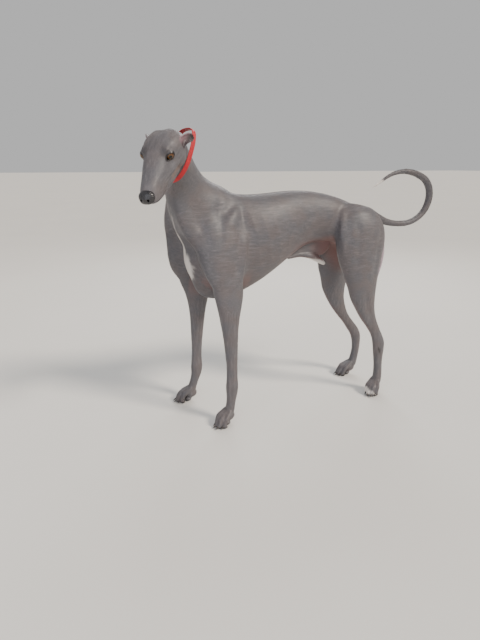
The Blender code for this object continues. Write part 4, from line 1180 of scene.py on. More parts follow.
# The model stands on the frame's origin: the middle of the box moves there
dogShift = np.array((-0.058583, -0.326964, 0.0))


def asPiece(name, shell):
    obj = asObject(name, (shell[0] + dogShift, shell[1]))
    obj.data.shade_smooth()
    return obj


def linear(hexColour):
    # an sRGB hex value as linear red, green, blue
    parts = [int(hexColour[k:k + 2], 16) / 255 for k in (1, 3, 5)]
    return tuple(p / 12.92 if p <= 0.04045 else ((p + 0.055) / 1.055) ** 2.4 for p in parts) + (1.0,)


def addNode(tree, kind, settings={}, inputs={}):
    # a node with its settings; each input is a socket to link or a plain value
    node = tree.nodes.new(kind)
    for name, value in settings.items():
        setattr(node, name, value)
    for key, value in inputs.items():
        if isinstance(value, bpy.types.NodeSocket):
            tree.links.new(value, node.inputs[key])
        else:
            node.inputs[key].default_value = value
    return node


def newMaterial(name, values):
    made = bpy.data.materials.new(name)
    made.use_nodes = True
    surface = made.node_tree.nodes["Principled BSDF"]
    for key, value in values.items():
        surface.inputs[key].default_value = value
    return made, made.node_tree, surface


def mixed(tree, share, first, second):
    return addNode(tree, "ShaderNodeMix", {"data_type": "RGBA"}, {0: share, 6: first, 7: second}).outputs[2]


def scaled(tree, socket, low, high, toLow=0.0, toHigh=1.0):
    # a value mapped from one range to another, held at its ends
    node = addNode(tree, "ShaderNodeMapRange", {}, {0: socket, 1: low, 2: high, 3: toLow, 4: toHigh})
    return node.outputs[0]


def readValue(tree, name):
    return addNode(tree, "ShaderNodeAttribute", {"attribute_name": name}).outputs["Fac"]


def cloudy(tree, vector, size, detail=3.0):
    # noise in lumps of about the given size in metres
    return addNode(tree, "ShaderNodeTexNoise", {}, {"Vector": vector, "Scale": 1.0 / size, "Detail": detail,
                                                    "Roughness": 0.55}).outputs["Fac"]


def calculated(tree, operation, first, second, clamped=True):
    settings = {"operation": operation, "use_clamp": clamped}
    return addNode(tree, "ShaderNodeMath", settings, {0: first, 1: second}).outputs[0]


def readVector(tree, name):
    return addNode(tree, "ShaderNodeAttribute", {"attribute_name": name}).outputs["Vector"]


def objectPlace(tree):
    return addNode(tree, "ShaderNodeTexCoord").outputs["Object"]


coatLook = {
    "ground": "#57565a",        # blue grey with a little brown
    "shade": "#434043",
    "light": "#7c777a",
    "warm": "#5d5758",
    "white": "#d9d2cc",
    "bareSkin": "#a38f9b",      # lavender pink of the worn thighs, paler for a painted highlight
    "thinSkin": "#7d5f5b",      # belly and groin
    "earPink": "#94717a",
    "dark": "#1d1a1b",
    "mouthCorner": "#80695e",
    "strandWidth": 0.0016,      # coarser than hair, so that it shows
    "clumpWidth": 0.0060,
    "toneWidth": 0.055,
    "roughness": 0.46,
    "wetRoughness": 0.22,
    "sheen": 0.12,
    "sheenTint": "#c9c4c6",
}
# Marks in the order they are laid on: the mark, its colour, how much it covers
coatMarks = [
    ("muzzle", "light", 0.22), ("corner", "mouthCorner", 0.55), ("thin", "thinSkin", 0.85),
    ("litBare", "bareSkin", 0.90), ("shade", "shade", 0.75), ("white", "white", 0.95),
    ("inner", "earPink", 0.8), ("earHollowShade", "dark", 0.75), ("dark", "dark", 0.8),
    ("lip", "dark", 0.85), ("rim", "dark", 0.9), ("pads", "dark", 0.95),
]


def coatColour(tree, tuft=False):
    # the dog's colours and markings, the same for skin and coat
    strands = readVector(tree, "strandPlace")
    tones = {name: linear(coatLook[name]) for name in ("ground", "warm", "light", "shade")}
    fine = cloudy(tree, strands, coatLook["strandWidth"], 2.0)
    clump = cloudy(tree, strands, coatLook["clumpWidth"], 3.0)
    broad = cloudy(tree, objectPlace(tree), coatLook["toneWidth"], 2.0)
    colour = mixed(tree, scaled(tree, broad, 0.38, 0.62), tones["ground"], tones["warm"])
    streaks = ((clump, 0.52, 0.75, 0.40, "light"), (clump, 0.48, 0.28, 0.34, "shade"),
               (fine, 0.55, 0.75, 0.32, "light"), (fine, 0.45, 0.25, 0.32, "shade"))
    for pattern, low, high, share, tone in streaks:
        colour = mixed(tree, scaled(tree, pattern, low, high, 0.0, share), colour, tones[tone])
    # tufts alone turn paler by a random share each: varied tone, and painted light that offsets the shade their
    # blades cast
    if tuft:
        paler = scaled(tree, readValue(tree, "tuftShade"), 0.0, 1.0, 0.0, 0.35)
        colour = mixed(tree, paler, colour, tones["light"])
    for name, tone, share in coatMarks:
        cover = calculated(tree, "MULTIPLY", readValue(tree, name), share)
        colour = mixed(tree, cover, colour, linear(coatLook[tone]))
    return colour, fine, clump


def skinMaterial():
    # short coat lying flat on the skin: the eye sees satin streaks along its lie
    made, tree, surface = newMaterial("ShortGreyCoat", {
        "Sheen Weight": coatLook["sheen"], "Sheen Roughness": 0.45,
        "Sheen Tint": linear(coatLook["sheenTint"]), "Specular IOR Level": 0.42, "IOR": 1.45})
    colour, fine, clump = coatColour(tree)
    tree.links.new(colour, surface.inputs["Base Color"])
    wet = calculated(tree, "MAXIMUM", readValue(tree, "rim"), readValue(tree, "lip"))
    dry = scaled(tree, fine, 0.3, 0.7, coatLook["roughness"] + 0.07, coatLook["roughness"] - 0.07)
    shares = {0: wet, 2: dry, 3: coatLook["wetRoughness"]}
    rough = addNode(tree, "ShaderNodeMix", {"data_type": "FLOAT"}, shares).outputs[0]
    tree.links.new(rough, surface.inputs["Roughness"])
    low = addNode(tree, "ShaderNodeBump", {}, {"Height": clump, "Strength": 0.35, "Distance": 0.0010})
    high = addNode(tree, "ShaderNodeBump", {}, {"Height": fine, "Strength": 0.55, "Distance": 0.00045,
                                                "Normal": low.outputs[0]})
    tree.links.new(high.outputs[0], surface.inputs["Normal"])
    return made


def tuftMaterial():
    # the same hair standing free of the skin: a little drier, and each tuft paler by a random share, a painted
    # lightening against the shade the blades cast on the skin
    made, tree, surface = newMaterial("ShortGreyHair", {
        "Sheen Weight": 0.15, "Sheen Roughness": 0.5, "Sheen Tint": linear(coatLook["sheenTint"]),
        "Specular IOR Level": 0.35, "IOR": 1.55})
    colour, fine = coatColour(tree, tuft=True)[:2]
    tree.links.new(colour, surface.inputs["Base Color"])
    tree.links.new(scaled(tree, fine, 0.3, 0.7, 0.62, 0.48), surface.inputs["Roughness"])
    return made


# Tufts: metres and degrees; each region is a piece of its own
tuftLook = {
    "coatHead": {"perSquareMetre": 900000, "length": 0.0034, "width": 0.00055, "lean": 5, "seed": 3},
    "coatFront": {"perSquareMetre": 260000, "length": 0.0065, "width": 0.00075, "lean": 4, "seed": 5},
    "coatMiddle": {"perSquareMetre": 330000, "length": 0.0080, "width": 0.00080, "lean": 3.5, "seed": 7},
    "coatRear": {"perSquareMetre": 250000, "length": 0.0070, "width": 0.00080, "lean": 4, "seed": 9},
}
bladeLook = {
    "flatness": 0.18,           # thickness as a share of the width
    "stray": 0.13,              # how far a blade strays from the lay
    "sunk": 0.00012,            # how deep its root stands in the skin
    "patch": 0.003,             # its own place on the flat sheet, as a share of the sheet
}


def newTree(name, inputs):
    # a geometry tree with a mesh in, named inputs and a mesh out
    tree = bpy.data.node_groups.new(name, "GeometryNodeTree")
    sockets = [("Geometry", "Geometry")] + inputs
    for title, kind in sockets:
        tree.interface.new_socket(title, in_out="INPUT", socket_type="NodeSocket" + kind)
    tree.interface.new_socket("Geometry", in_out="OUTPUT", socket_type="NodeSocketGeometry")
    return tree, addNode(tree, "NodeGroupInput").outputs


def endTree(tree, geometry, material):
    finished = addNode(tree, "GeometryNodeSetMaterial", {}, {"Geometry": geometry, "Material": material})
    addNode(tree, "NodeGroupOutput", {}, {0: finished.outputs[0]})


def tuftTree():
    # scatters flat three-sided blades over a surface, along the attribute lay
    tree, start = newTree("TuftsAlongLay", [("Density", "Float"), ("Length", "Float"), ("Width", "Float"),
                                            ("Lean", "Float"), ("Seed", "Int"), ("Region", "Int"),
                                            ("Material", "Material")])

    def named(name, kind="FLOAT"):
        return addNode(tree, "GeometryNodeInputNamedAttribute", {"data_type": kind}, {0: name}).outputs[0]

    def maths(operation, first, second=0.0):
        return addNode(tree, "ShaderNodeMath", {"operation": operation}, {0: first, 1: second}).outputs[0]

    def vectors(operation, first, second):
        inputs = {0: first, "Scale" if operation == "SCALE" else 1: second}
        return addNode(tree, "ShaderNodeVectorMath", {"operation": operation}, inputs).outputs[0]

    def drawnFloat(low, high, add):
        return addNode(tree, "FunctionNodeRandomValue", {"data_type": "FLOAT"},
                       {2: low, 3: high, 8: maths("ADD", start["Seed"], add)}).outputs[1]

    def stored(geometry, name, value, kind="FLOAT", domain="POINT"):
        return addNode(tree, "GeometryNodeStoreNamedAttribute", {"data_type": kind, "domain": domain},
                       {"Geometry": geometry, "Name": name, "Value": value}).outputs[0]

    regionHere = addNode(tree, "FunctionNodeCompare", {"data_type": "INT", "operation": "EQUAL"},
                         {2: named("region", "INT"), 3: start["Region"]}).outputs[0]
    density = maths("MULTIPLY", maths("MULTIPLY", start["Density"], named("coatDensity")), regionHere)
    points = addNode(tree, "GeometryNodeDistributePointsOnFaces", {"distribute_method": "RANDOM"},
                     {"Mesh": start["Geometry"], "Density": density, "Seed": start["Seed"]})
    normal = points.outputs["Normal"]
    lean = maths("MULTIPLY", start["Lean"], drawnFloat(0.4, 1.6, 11))
    far = bladeLook["stray"]
    stray = addNode(tree, "FunctionNodeRandomValue", {"data_type": "FLOAT_VECTOR"},
                    {0: (-far, -far, -far), 1: (far, far, far), 8: start["Seed"]}).outputs[0]
    way = vectors("ADD", vectors("SCALE", named("lay", "FLOAT_VECTOR"), maths("COSINE", lean)),
                  vectors("SCALE", normal, maths("SINE", lean)))
    way = vectors("ADD", way, vectors("CROSS_PRODUCT", normal, stray))
    turn = addNode(tree, "FunctionNodeAxesToRotation", {"primary_axis": "Z", "secondary_axis": "Y"},
                   {0: way, 1: normal}).outputs[0]
    width = maths("MULTIPLY", start["Width"], named("coatLength"))
    length = maths("MULTIPLY", start["Length"], named("coatLength"))
    length = maths("MULTIPLY", length, drawnFloat(0.7, 1.25, 23))
    thickness = maths("MULTIPLY", width, bladeLook["flatness"])
    size = addNode(tree, "ShaderNodeCombineXYZ", {}, {0: width, 1: thickness, 2: length}).outputs[0]
    blade = addNode(tree, "GeometryNodeMeshCone", {}, {"Vertices": 3, "Radius Top": 0.0, "Radius Bottom": 0.5,
                                                       "Depth": 1.0}).outputs["Mesh"]
    place = addNode(tree, "GeometryNodeInputPosition").outputs[0]
    blade = stored(blade, "onBlade", place, "FLOAT_VECTOR")
    sunk = vectors("SCALE", normal, -bladeLook["sunk"])
    rooted = addNode(tree, "GeometryNodeSetPosition", {}, {"Geometry": points.outputs["Points"],
                                                           "Offset": sunk})
    shaded = stored(rooted.outputs[0], "tuftShade", drawnFloat(0.0, 1.0, 31))
    tufts = addNode(tree, "GeometryNodeInstanceOnPoints", {}, {"Points": shaded, "Instance": blade,
                                                               "Rotation": turn, "Scale": size}).outputs[0]
    real = addNode(tree, "GeometryNodeRealizeInstances", {}, {0: tufts}).outputs[0]
    split = addNode(tree, "ShaderNodeSeparateXYZ", {}, {0: named("onBlade", "FLOAT_VECTOR")}).outputs
    patch = addNode(tree, "ShaderNodeCombineXYZ", {}, {0: maths("MULTIPLY", split[0], bladeLook["patch"]),
                                                       1: maths("MULTIPLY", split[2], bladeLook["patch"])})
    onSheet = vectors("ADD", named("rootPlace", "FLOAT_VECTOR"), patch.outputs[0])
    endTree(tree, stored(real, "OFBake", onSheet, "FLOAT2", "CORNER"), start["Material"])
    return tree


def applied(obj, tree, values, name):
    # the object with the tree's modifier, turned into a plain mesh of its own
    modifier = obj.modifiers.new("Nodes", "NODES")
    modifier.node_group = tree
    for item in tree.interface.items_tree:
        if item.item_type == "SOCKET" and item.in_out == "INPUT" and item.name in values:
            modifier[item.identifier] = values[item.name]
    depsgraph = bpy.context.evaluated_depsgraph_get()
    mesh = bpy.data.meshes.new_from_object(obj.evaluated_get(depsgraph))
    obj.modifiers.remove(modifier)
    made = bpy.data.objects.new(name, mesh)
    mesh.name = name
    bpy.context.scene.collection.objects.link(made)
    return made


def coatRegions(points, normals, marks):
    # where tufts grow, how long they are, and which piece they belong to
    local, head, neckShare, tail = regionsOf(points)[:4]
    y, z = points[:, 1], points[:, 2]
    length = np.ones(len(points))
    edgeOfChest = softly(-y, 0.0, 0.04) * (z < 0.62)
    bellyLine = softly(-normals[:, 2], 0.3, 0.8) * (z > 0.38)
    thighRear = softly(normals[:, 1], 0.4, 0.8) * (y > 0.56) * (z > 0.25)
    backLine = softly(normals[:, 2], 0.75, 0.97) * (z > 0.60)
    elbow = softly(normals[:, 1], 0.4, 0.8) * (y < 0.2) * (z < 0.50)
    full = np.maximum.reduce([edgeOfChest, bellyLine, thighRear, 0.8 * backLine, elbow, tail,
                              0.7 * neckShare, 0.9 * head])
    density = np.maximum(0.30, full)
    length *= 1 + 0.35 * np.maximum(edgeOfChest, thighRear) + 0.3 * tail
    foot = softly(-z, -0.09, -0.03)
    length *= 1 - 0.45 * foot
    face = head * softly(-local[:, 1], -0.02, 0.07)
    length = np.where(head > 0.5, 1.25 - 0.55 * face, length)
    hidden = np.maximum.reduce([marks["rim"], marks["lip"], marks["pads"], marks["litBare"] * 0.85,
                                marks["inner"] * 0.8, marks["thin"] * 0.5])
    density *= 1 - np.clip(hidden, 0, 1)
    underCollar = (np.abs(pastCollar(points)) < 0.5 * collarBand[0] + 0.004) & (z > headLow)
    density[underCollar] = 0.0
    fromNose = (local - np.array((0, noseStations[1][1], noseStations[1][2]))) / np.array((1.0, 0.8, 0.9))
    density *= softly(np.linalg.norm(fromNose, axis=1), 0.020, 0.026)
    density *= z > 0.004
    # head 0, front 1, middle 2, rear 3, as in tuftLook
    region = np.full(len(points), 2)
    region[y < 0.05] = 1
    region[(z < 0.44) & (y < 0.25)] = 1
    region[y > 0.43] = 3
    region[head > 0.5] = 0
    return density, length, region


def strandPlaces(points):
    # place in each part's own direction, drawn out along the hair so that patterns turn into streaks
    local, head, neckShare, tail, limb = regionsOf(points)
    draw = 0.11
    body = points * np.array((1.0, draw, 1.0))
    legs = points * np.array((1.0, 1.0, draw))
    necks = points - (1 - draw) * np.outer(points @ neckAxis(), neckAxis())
    faces = local * np.array((1.0, 2 * draw, 1.0))
    place = body
    for share, own in ((limb, legs), (neckShare, necks), (head, faces), (tail, necks)):
        place = place * (1 - share[:, None]) + own * share[:, None]
    return place


# An eye: metres, and degrees from its axis
eyeLook = {
    "radius": 0.0122,
    "bulge": 0.0010,            # how far the cornea stands out
    "pupil": 20.0,
    "limbus": 54.0,             # where the iris ends
    "paleRing": (21.0, 36.0),
    "darkRing": (40.0, 52.0),
    "socket": (55.0, 75.0),     # from the white to the pink of the socket
    "iris": "#5c3c20",
    "irisDark": "#311c0f",
    "irisLight": "#694a2a",
    "ring": "#140d0b",
    "white": "#3a2a24",         # always in the lids' shade, so nearly brown
    # the socket's pink, darkened as painted shade of the lids, like the white
    "pink": "#3b1d1a",
}


def eyePiece(name, flip):
    turn = math.radians(eyeOut)
    axes = np.array(((math.cos(turn), math.sin(turn), 0), (0, 0, 1), (math.sin(turn), -math.cos(turn), 0)))
    points, faces = ball((0, 0, 0), (1, 1, 1), sides=64, rings=48)
    polar = np.degrees(np.arccos(np.clip(points[:, 2], -1, 1)))
    around = np.arctan2(points[:, 1], points[:, 0])
    bulge = eyeLook["bulge"] * np.clip(1 - (polar / eyeLook["limbus"]) ** 2, 0, 1)
    placed = points * (eyeLook["radius"] + bulge)[:, None] @ axes + np.array(eyeCentre)
    piece = asPiece(name, outwards(onHead(flip((placed, faces)))))
    addAttribute(piece.data, "fromAxis", polar)
    turnPlace = np.stack([np.cos(around), np.sin(around), polar / eyeLook["limbus"]], axis=1)
    addAttribute(piece.data, "turnPlace", turnPlace, "FLOAT_VECTOR")
    return piece


def eyeMaterial():
    # wet cornea over an amber iris: a sharp highlight on a dark-rimmed brown disc
    made, tree, surface = newMaterial("WetEye", {
        "Roughness": 0.25, "Specular IOR Level": 0.2, "IOR": 1.38,
        "Coat Weight": 1.0, "Coat Roughness": 0.02, "Coat IOR": 1.38})
    polar = readValue(tree, "fromAxis")
    spokes = readVector(tree, "turnPlace")
    fibres = addNode(tree, "ShaderNodeMapping", {}, {"Vector": spokes, "Scale": (7.0, 7.0, 1.2)}).outputs[0]
    fibre = addNode(tree, "ShaderNodeTexNoise", {}, {"Vector": fibres, "Scale": 1.6, "Detail": 4.0})
    pupil, limbus = eyeLook["pupil"], eyeLook["limbus"]
    tones = {name: linear(eyeLook[name]) for name in ("iris", "irisDark", "irisLight", "ring", "white", "pink")}
    colour = mixed(tree, scaled(tree, fibre.outputs["Fac"], 0.35, 0.65), tones["irisDark"], tones["iris"])
    for share, tone in ((scaled(tree, polar, *eyeLook["paleRing"], 0.75, 0.0), tones["irisLight"]),
                        (scaled(tree, polar, *eyeLook["darkRing"], 0.0, 0.9), tones["ring"]),
                        (scaled(tree, polar, pupil + 0.8, pupil - 0.8), (0.002, 0.002, 0.002, 1)),
                        (scaled(tree, polar, limbus - 1.5, limbus + 2.5), tones["white"]),
                        (scaled(tree, polar, *eyeLook["socket"]), tones["pink"])):
        colour = mixed(tree, share, colour, tone)
    tree.links.new(colour, surface.inputs["Base Color"])
    return made


noseLook = {"colour": "#17161a", "edge": "#2a282c", "cobble": 0.0013, "grain": 0.0006, "rounds": 3}


def nosePiece():
    shell = noseLeather(perSpan=6, sides=48)
    nostrils = bothSides([tube(nostrilStations, perSpan=4, sides=20)])
    # the groove between the nostrils and the slit at each side
    philtrum = tube([(0, -0.1235, -0.026, 0.0006), (0, -0.1255, -0.034, 0.0008),
                     (0, -0.122, -0.043, 0.0009), (0, -0.112, -0.049, 0.0008)], perSpan=3, sides=10)
    slits = bothSides([tube([(0.0150, -0.1225, -0.0325, 0.0010), (0.0185, -0.1170, -0.0360, 0.0010),
                             (0.0205, -0.1110, -0.0375, 0.0006)], perSpan=3, sides=10)])
    shell = combined(shell, nostrils + [philtrum] + slits, "DIFFERENCE")
    shell = relaxed(fused([shell], noseLook["grain"]), noseLook["rounds"])
    return asPiece("noseLook", largest(onHead(shell)))


def leatherMaterial():
    # nose leather: fine cobbles about 1.3 mm across, always moist, so it holds a soft bright highlight
    made, tree, surface = newMaterial("MoistNoseLeather", {"Coat Weight": 0.5, "Coat Roughness": 0.18,
                                                          "IOR": 1.4, "Specular IOR Level": 0.55})
    place = objectPlace(tree)
    cells = addNode(tree, "ShaderNodeTexVoronoi", {"feature": "DISTANCE_TO_EDGE"},
                    {"Vector": place, "Scale": 1.0 / noseLook["cobble"]}).outputs["Distance"]
    tone = cloudy(tree, place, 0.006)
    colour = mixed(tree, scaled(tree, tone, 0.35, 0.7), linear(noseLook["colour"]),
                   linear(noseLook["edge"]))
    tree.links.new(colour, surface.inputs["Base Color"])
    tree.links.new(scaled(tree, tone, 0.3, 0.7, 0.26, 0.40), surface.inputs["Roughness"])
    bump = addNode(tree, "ShaderNodeBump", {}, {"Height": scaled(tree, cells, 0.0, 0.25), "Strength": 0.7,
                                                "Distance": 0.00025})
    tree.links.new(bump.outputs[0], surface.inputs["Normal"])
    return made


clawLook = {"colour": "#2a2524", "light": "#6a5c54", "flatness": 0.72, "streak": 0.0012}


def clawPieces():
    shells = []
    for name in feet:
        x, y, turn = feet[name]
        turned = np.array(Matrix.Rotation(math.radians(turn), 3, "Z"))
        for across, reach in toes:
            path = [(across, -reach - past, z, radius) for past, z, radius in clawStations]
            points, faces = tube(path, flat=clawLook["flatness"])
            form = (points @ turned.T, faces)
            if "right" in name:
                form = mirrored(form)
            shells.append(outwards((form[0] + np.array((x, y, 0.0)), form[1])))
    return asPiece("claws", gathered(shells))


def hornMaterial():
    # claw horn: dark and smooth, worn paler at the tip
    made, tree, surface = newMaterial("ClawHorn", {"Roughness": 0.34, "IOR": 1.54, "Coat Weight": 0.15})
    place = objectPlace(tree)
    height = addNode(tree, "ShaderNodeSeparateXYZ", {}, {0: place}).outputs[2]
    streak = cloudy(tree, place, clawLook["streak"])
    dark, light = linear(clawLook["colour"]), linear(clawLook["light"])
    colour = mixed(tree, scaled(tree, streak, 0.4, 0.7, 0.0, 0.5), dark, light)
    colour = mixed(tree, scaled(tree, height, 0.0055, 0.0015, 0.0, 0.6), colour, light)
    tree.links.new(colour, surface.inputs["Base Color"])
    return made


collarLook = {
    "around": 260,              # sections of the band
    "sectionSides": 24,
    "wavesKept": 14,            # finer unevenness of the loop is smoothed away
    "red": "#cb0d22",
    # deep red, used as painted shade in the weave's hollows and on the band's inner face
    "deep": "#7d0716",
    "pale": "#e8413f",
    "rib": 0.0012,
    "stitchStep": 0.0034,
    "stitchLength": 0.0021,
    "stitchWidth": 0.0005,
    "stitchPlace": 0.36,        # from the middle, as a share of the band's width
    "stitchOut": 0.52,          # and of its thickness
}


def collarPiece(skin):
    # the band in fine rounded sections, and the two lines that its stitches follow
    centre, down, side, ahead = collarPlane()[:4]
    ring = collar(skin)[0].reshape(-1, 4, 3).mean(axis=1)
    count = len(ring)
    around, sides = collarLook["around"], collarLook["sectionSides"]
    reaches = np.linalg.norm(ring - centre, axis=1)
    angles = np.linspace(0.0, 2 * math.pi, around, endpoint=False)
    waves = np.fft.rfft(reaches)
    waves[collarLook["wavesKept"]:] = 0

    def reachAt(angle):
        return sum((2 if k else 1) * (w * np.exp(1j * k * angle)).real for k, w in enumerate(waves)) / count

    smooth = np.array([reachAt(angle) for angle in angles])
    wide, thick = collarBand
    turned = np.linspace(0, 2 * math.pi, sides, endpoint=False)
    across = np.sign(np.cos(turned)) * np.abs(np.cos(turned)) ** 0.18 * wide / 2
    out = np.sign(np.sin(turned)) * np.abs(np.sin(turned)) ** 0.55 * thick / 2
    ways = [math.cos(angle) * down + math.sin(angle) * side for angle in angles]
    points = [centre + np.outer(reach + out, way) + np.outer(across, ahead)
              for way, reach in zip(ways, smooth)]
    faces = []
    for i in range(around):
        a, b = i * sides, ((i + 1) % around) * sides
        faces += [(a + k, a + (k + 1) % sides, b + (k + 1) % sides, b + k) for k in range(sides)]
    piece = asPiece("collarBand", outwards((np.concatenate(points), faces)))
    length = 2 * math.pi * smooth.mean()
    onBand = [np.repeat(angles / (2 * math.pi) * length, sides), np.tile(across, around),
              np.tile(out, around)]
    addAttribute(piece.data, "onBand", np.stack(onBand, axis=1), "FLOAT_VECTOR")
    lift = collarLook["stitchOut"] * thick
    lines = [[centre + (reach + lift) * way + offset * wide * ahead for way, reach in zip(ways, smooth)]
             for offset in (-collarLook["stitchPlace"], collarLook["stitchPlace"])]
    return piece, lines


def webbingMaterial():
    # woven nylon webbing: ribs 1.2 mm apart run across, the face is bright red, and painted shade makes the
    # sunk parts and the inner face deeper red
    made, tree, surface = newMaterial("RedNylonWebbing", {
        "Sheen Weight": 0.08, "Sheen Roughness": 0.35, "Sheen Tint": linear("#ff8a80"), "IOR": 1.53})
    band = readVector(tree, "onBand")
    parts = addNode(tree, "ShaderNodeSeparateXYZ", {}, {0: band}).outputs
    scale = 2 * math.pi / collarLook["rib"]
    ribs = calculated(tree, "MULTIPLY", parts[0], scale, False)
    ribs = calculated(tree, "SINE", ribs, 0.5, False)
    rows = calculated(tree, "MULTIPLY", parts[1], scale * 0.8, False)
    rows = calculated(tree, "SINE", rows, 0.5, False)
    weave = calculated(tree, "MULTIPLY", ribs, rows, False)
    weave = scaled(tree, weave, -1.0, 1.0)
    wear = cloudy(tree, band, 0.009)
    red, deep, pale = (linear(collarLook[name]) for name in ("red", "deep", "pale"))
    # painted shade: the weave's sunk parts take the deep red
    colour = mixed(tree, scaled(tree, weave, 0.0, 0.9), deep, red)
    colour = mixed(tree, scaled(tree, wear, 0.50, 0.75, 0.0, 0.25), colour, pale)
    # painted shade: the band's inner face, against the neck, turns towards the deep red
    inside = scaled(tree, parts[2], 0.0, -0.0008)
    colour = mixed(tree, calculated(tree, "MULTIPLY", inside, 0.6), colour, deep)
    tree.links.new(colour, surface.inputs["Base Color"])
    tree.links.new(scaled(tree, wear, 0.3, 0.7, 0.50, 0.66), surface.inputs["Roughness"])
    bump = addNode(tree, "ShaderNodeBump", {}, {"Height": weave, "Strength": 0.6, "Distance": 0.00025})
    tree.links.new(bump.outputs[0], surface.inputs["Normal"])
    return made


def stitchTree():
    # stitches at even steps along a line of edges
    tree, start = newTree("StitchRow", [("Step", "Float"), ("Length", "Float"), ("Width", "Float"),
                                        ("Material", "Material")])
    curve = addNode(tree, "GeometryNodeMeshToCurve", {}, {0: start["Geometry"]}).outputs[0]
    points = addNode(tree, "GeometryNodeCurveToPoints", {"mode": "LENGTH"},
                     {"Curve": curve, "Length": start["Step"]})
    size = addNode(tree, "ShaderNodeCombineXYZ", {}, {0: start["Width"], 1: start["Width"],
                                                      2: start["Length"]}).outputs[0]
    stitch = addNode(tree, "GeometryNodeMeshUVSphere", {}, {"Segments": 6, "Rings": 5, "Radius": 0.5})
    rows = addNode(tree, "GeometryNodeInstanceOnPoints", {}, {
        "Points": points.outputs[0], "Instance": stitch.outputs[0],
        "Rotation": points.outputs["Rotation"], "Scale": size})
    real = addNode(tree, "GeometryNodeRealizeInstances", {}, {0: rows.outputs[0]}).outputs[0]
    endTree(tree, real, start["Material"])
    return tree


def threadMaterial():
    # polyester sewing thread: a shade deeper than the webbing, with a slight gloss
    made, tree, surface = newMaterial("RedSewingThread", {"Roughness": 0.45, "Sheen Weight": 0.2})
    colour = mixed(tree, cloudy(tree, objectPlace(tree), 0.0006), linear("#a10f20"), linear("#d3263a"))
    tree.links.new(colour, surface.inputs["Base Color"])
    return made


whiskerLook = {
    "rows": 4,
    "perRow": 5,
    "first": (-0.098, -0.040),  # y and z of the first root, in the head's frame
    "step": (0.0085, 0.0042),   # along a row, and down to the next
    "stray": (0.0010, 0.0008),
    "length": 0.020,
    "thick": 0.00022,
    "colour": "#4a4346",
    "pale": "#8a8084",
    "seed": 12,
}


def whiskerPiece(tree):
    # a few fine whiskers on each side of the muzzle, in rows
    rng = np.random.default_rng(whiskerLook["seed"])
    firstY, firstZ = whiskerLook["first"]
    stepY, stepZ = whiskerLook["step"]
    strayY, strayZ = whiskerLook["stray"]
    turn, place = headFrame()
    shells = []
    for row in range(whiskerLook["rows"]):
        for k in range(whiskerLook["perRow"]):
            y = firstY + stepY * k + rng.uniform(-strayY, strayY)
            z = firstZ - stepZ * row + rng.uniform(-strayZ, strayZ)
            long = whiskerLook["length"] * rng.uniform(0.6, 1.1)
            drop, back = rng.uniform(0.15, 0.5), rng.uniform(0.5, 0.9)
            for side in (1, -1):
                origin = turn @ np.array((side * 0.08, y, z)) + place
                way = turn @ np.array((-side, 0, 0))
                hit = tree.ray_cast(Vector(origin), Vector(way), 0.1)
                if hit[0] is None:
                    continue
                root = turn.T @ (np.array(hit[0]) - place)
                path = []
                for t in (0.0, 0.35, 0.7, 1.0):
                    path.append((root[0] + side * (0.85 * t * long - 0.001), root[1] + back * long * t * t,
                                 root[2] - drop * long * t * t, whiskerLook["thick"] * (1.05 - t)))
                shells.append(onHead(outwards(tube(path, perSpan=2, sides=5, capAngles=()))))
    return asPiece("whiskers", gathered(shells))


def whiskerMaterial():
    # stiff hair, thicker and glossier than the coat
    made, tree, surface = newMaterial("WhiskerHair", {"Roughness": 0.35, "IOR": 1.55})
    colour = mixed(tree, cloudy(tree, objectPlace(tree), 0.004), linear(whiskerLook["colour"]),
                   linear(whiskerLook["pale"]))
    tree.links.new(colour, surface.inputs["Base Color"])
    return made


print("skin")
skinShell = dogSkin()
normals = normalsOf(*skinShell)
skin = asPiece("dogSkin", skinShell)
marks = paint(skinShell[0], normals)
density, coatLength, region = coatRegions(skinShell[0], normals, marks)
for name, values in marks.items():
    addAttribute(skin.data, name, values)
addAttribute(skin.data, "coatDensity", density)
addAttribute(skin.data, "coatLength", coatLength)
addAttribute(skin.data, "lay", layOf(skinShell[0], normals), "FLOAT_VECTOR")
addAttribute(skin.data, "strandPlace", strandPlaces(skinShell[0]), "FLOAT_VECTOR")
sheet = unrolled(skinShell[0])    # each tuft takes its place on the flat sheet from its root
addAttribute(skin.data, "rootPlace", np.column_stack([sheet, np.zeros(len(sheet))]), "FLOAT_VECTOR")
regionHere = skin.data.attributes.new("region", "INT", "POINT")
regionHere.data.foreach_set("value", region.astype(np.int32))
skin.data.materials.append(skinMaterial())
flesh = ["head", "neck", "torso", "ear_left", "ear_right", "tail_1", "tail_2", "tail_3"] + list(feet)
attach(skin, "root")
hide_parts(*flesh)

print("coat")
hair = tuftMaterial()
tufts = tuftTree()
for index, (name, look) in enumerate(tuftLook.items()):
    values = {"Density": float(look["perSquareMetre"]), "Length": look["length"], "Width": look["width"],
              "Lean": math.radians(look["lean"]), "Seed": look["seed"], "Region": index, "Material": hair}
    piece = applied(skin, tufts, values, name)
    print(name, len(piece.data.polygons), "faces")
    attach(piece, "root")

print("eyes, nose and claws")
wetEye = eyeMaterial()
for side, flip in (("left", lambda shell: shell), ("right", mirrored)):
    eye = eyePiece("eye" + side.capitalize(), flip)
    eye.data.materials.append(wetEye)
    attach(eye, "root")
    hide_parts("eye_" + side)
nose = nosePiece()
nose.data.materials.append(leatherMaterial())
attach(nose, "root")
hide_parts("nose")
clawsPiece = clawPieces()
clawsPiece.data.materials.append(hornMaterial())
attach(clawsPiece, "root")
skinTree = BVHTree.FromPolygons(skinShell[0].tolist(), skinShell[1])
whiskers = whiskerPiece(skinTree)
whiskers.data.materials.append(whiskerMaterial())
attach(whiskers, "root")

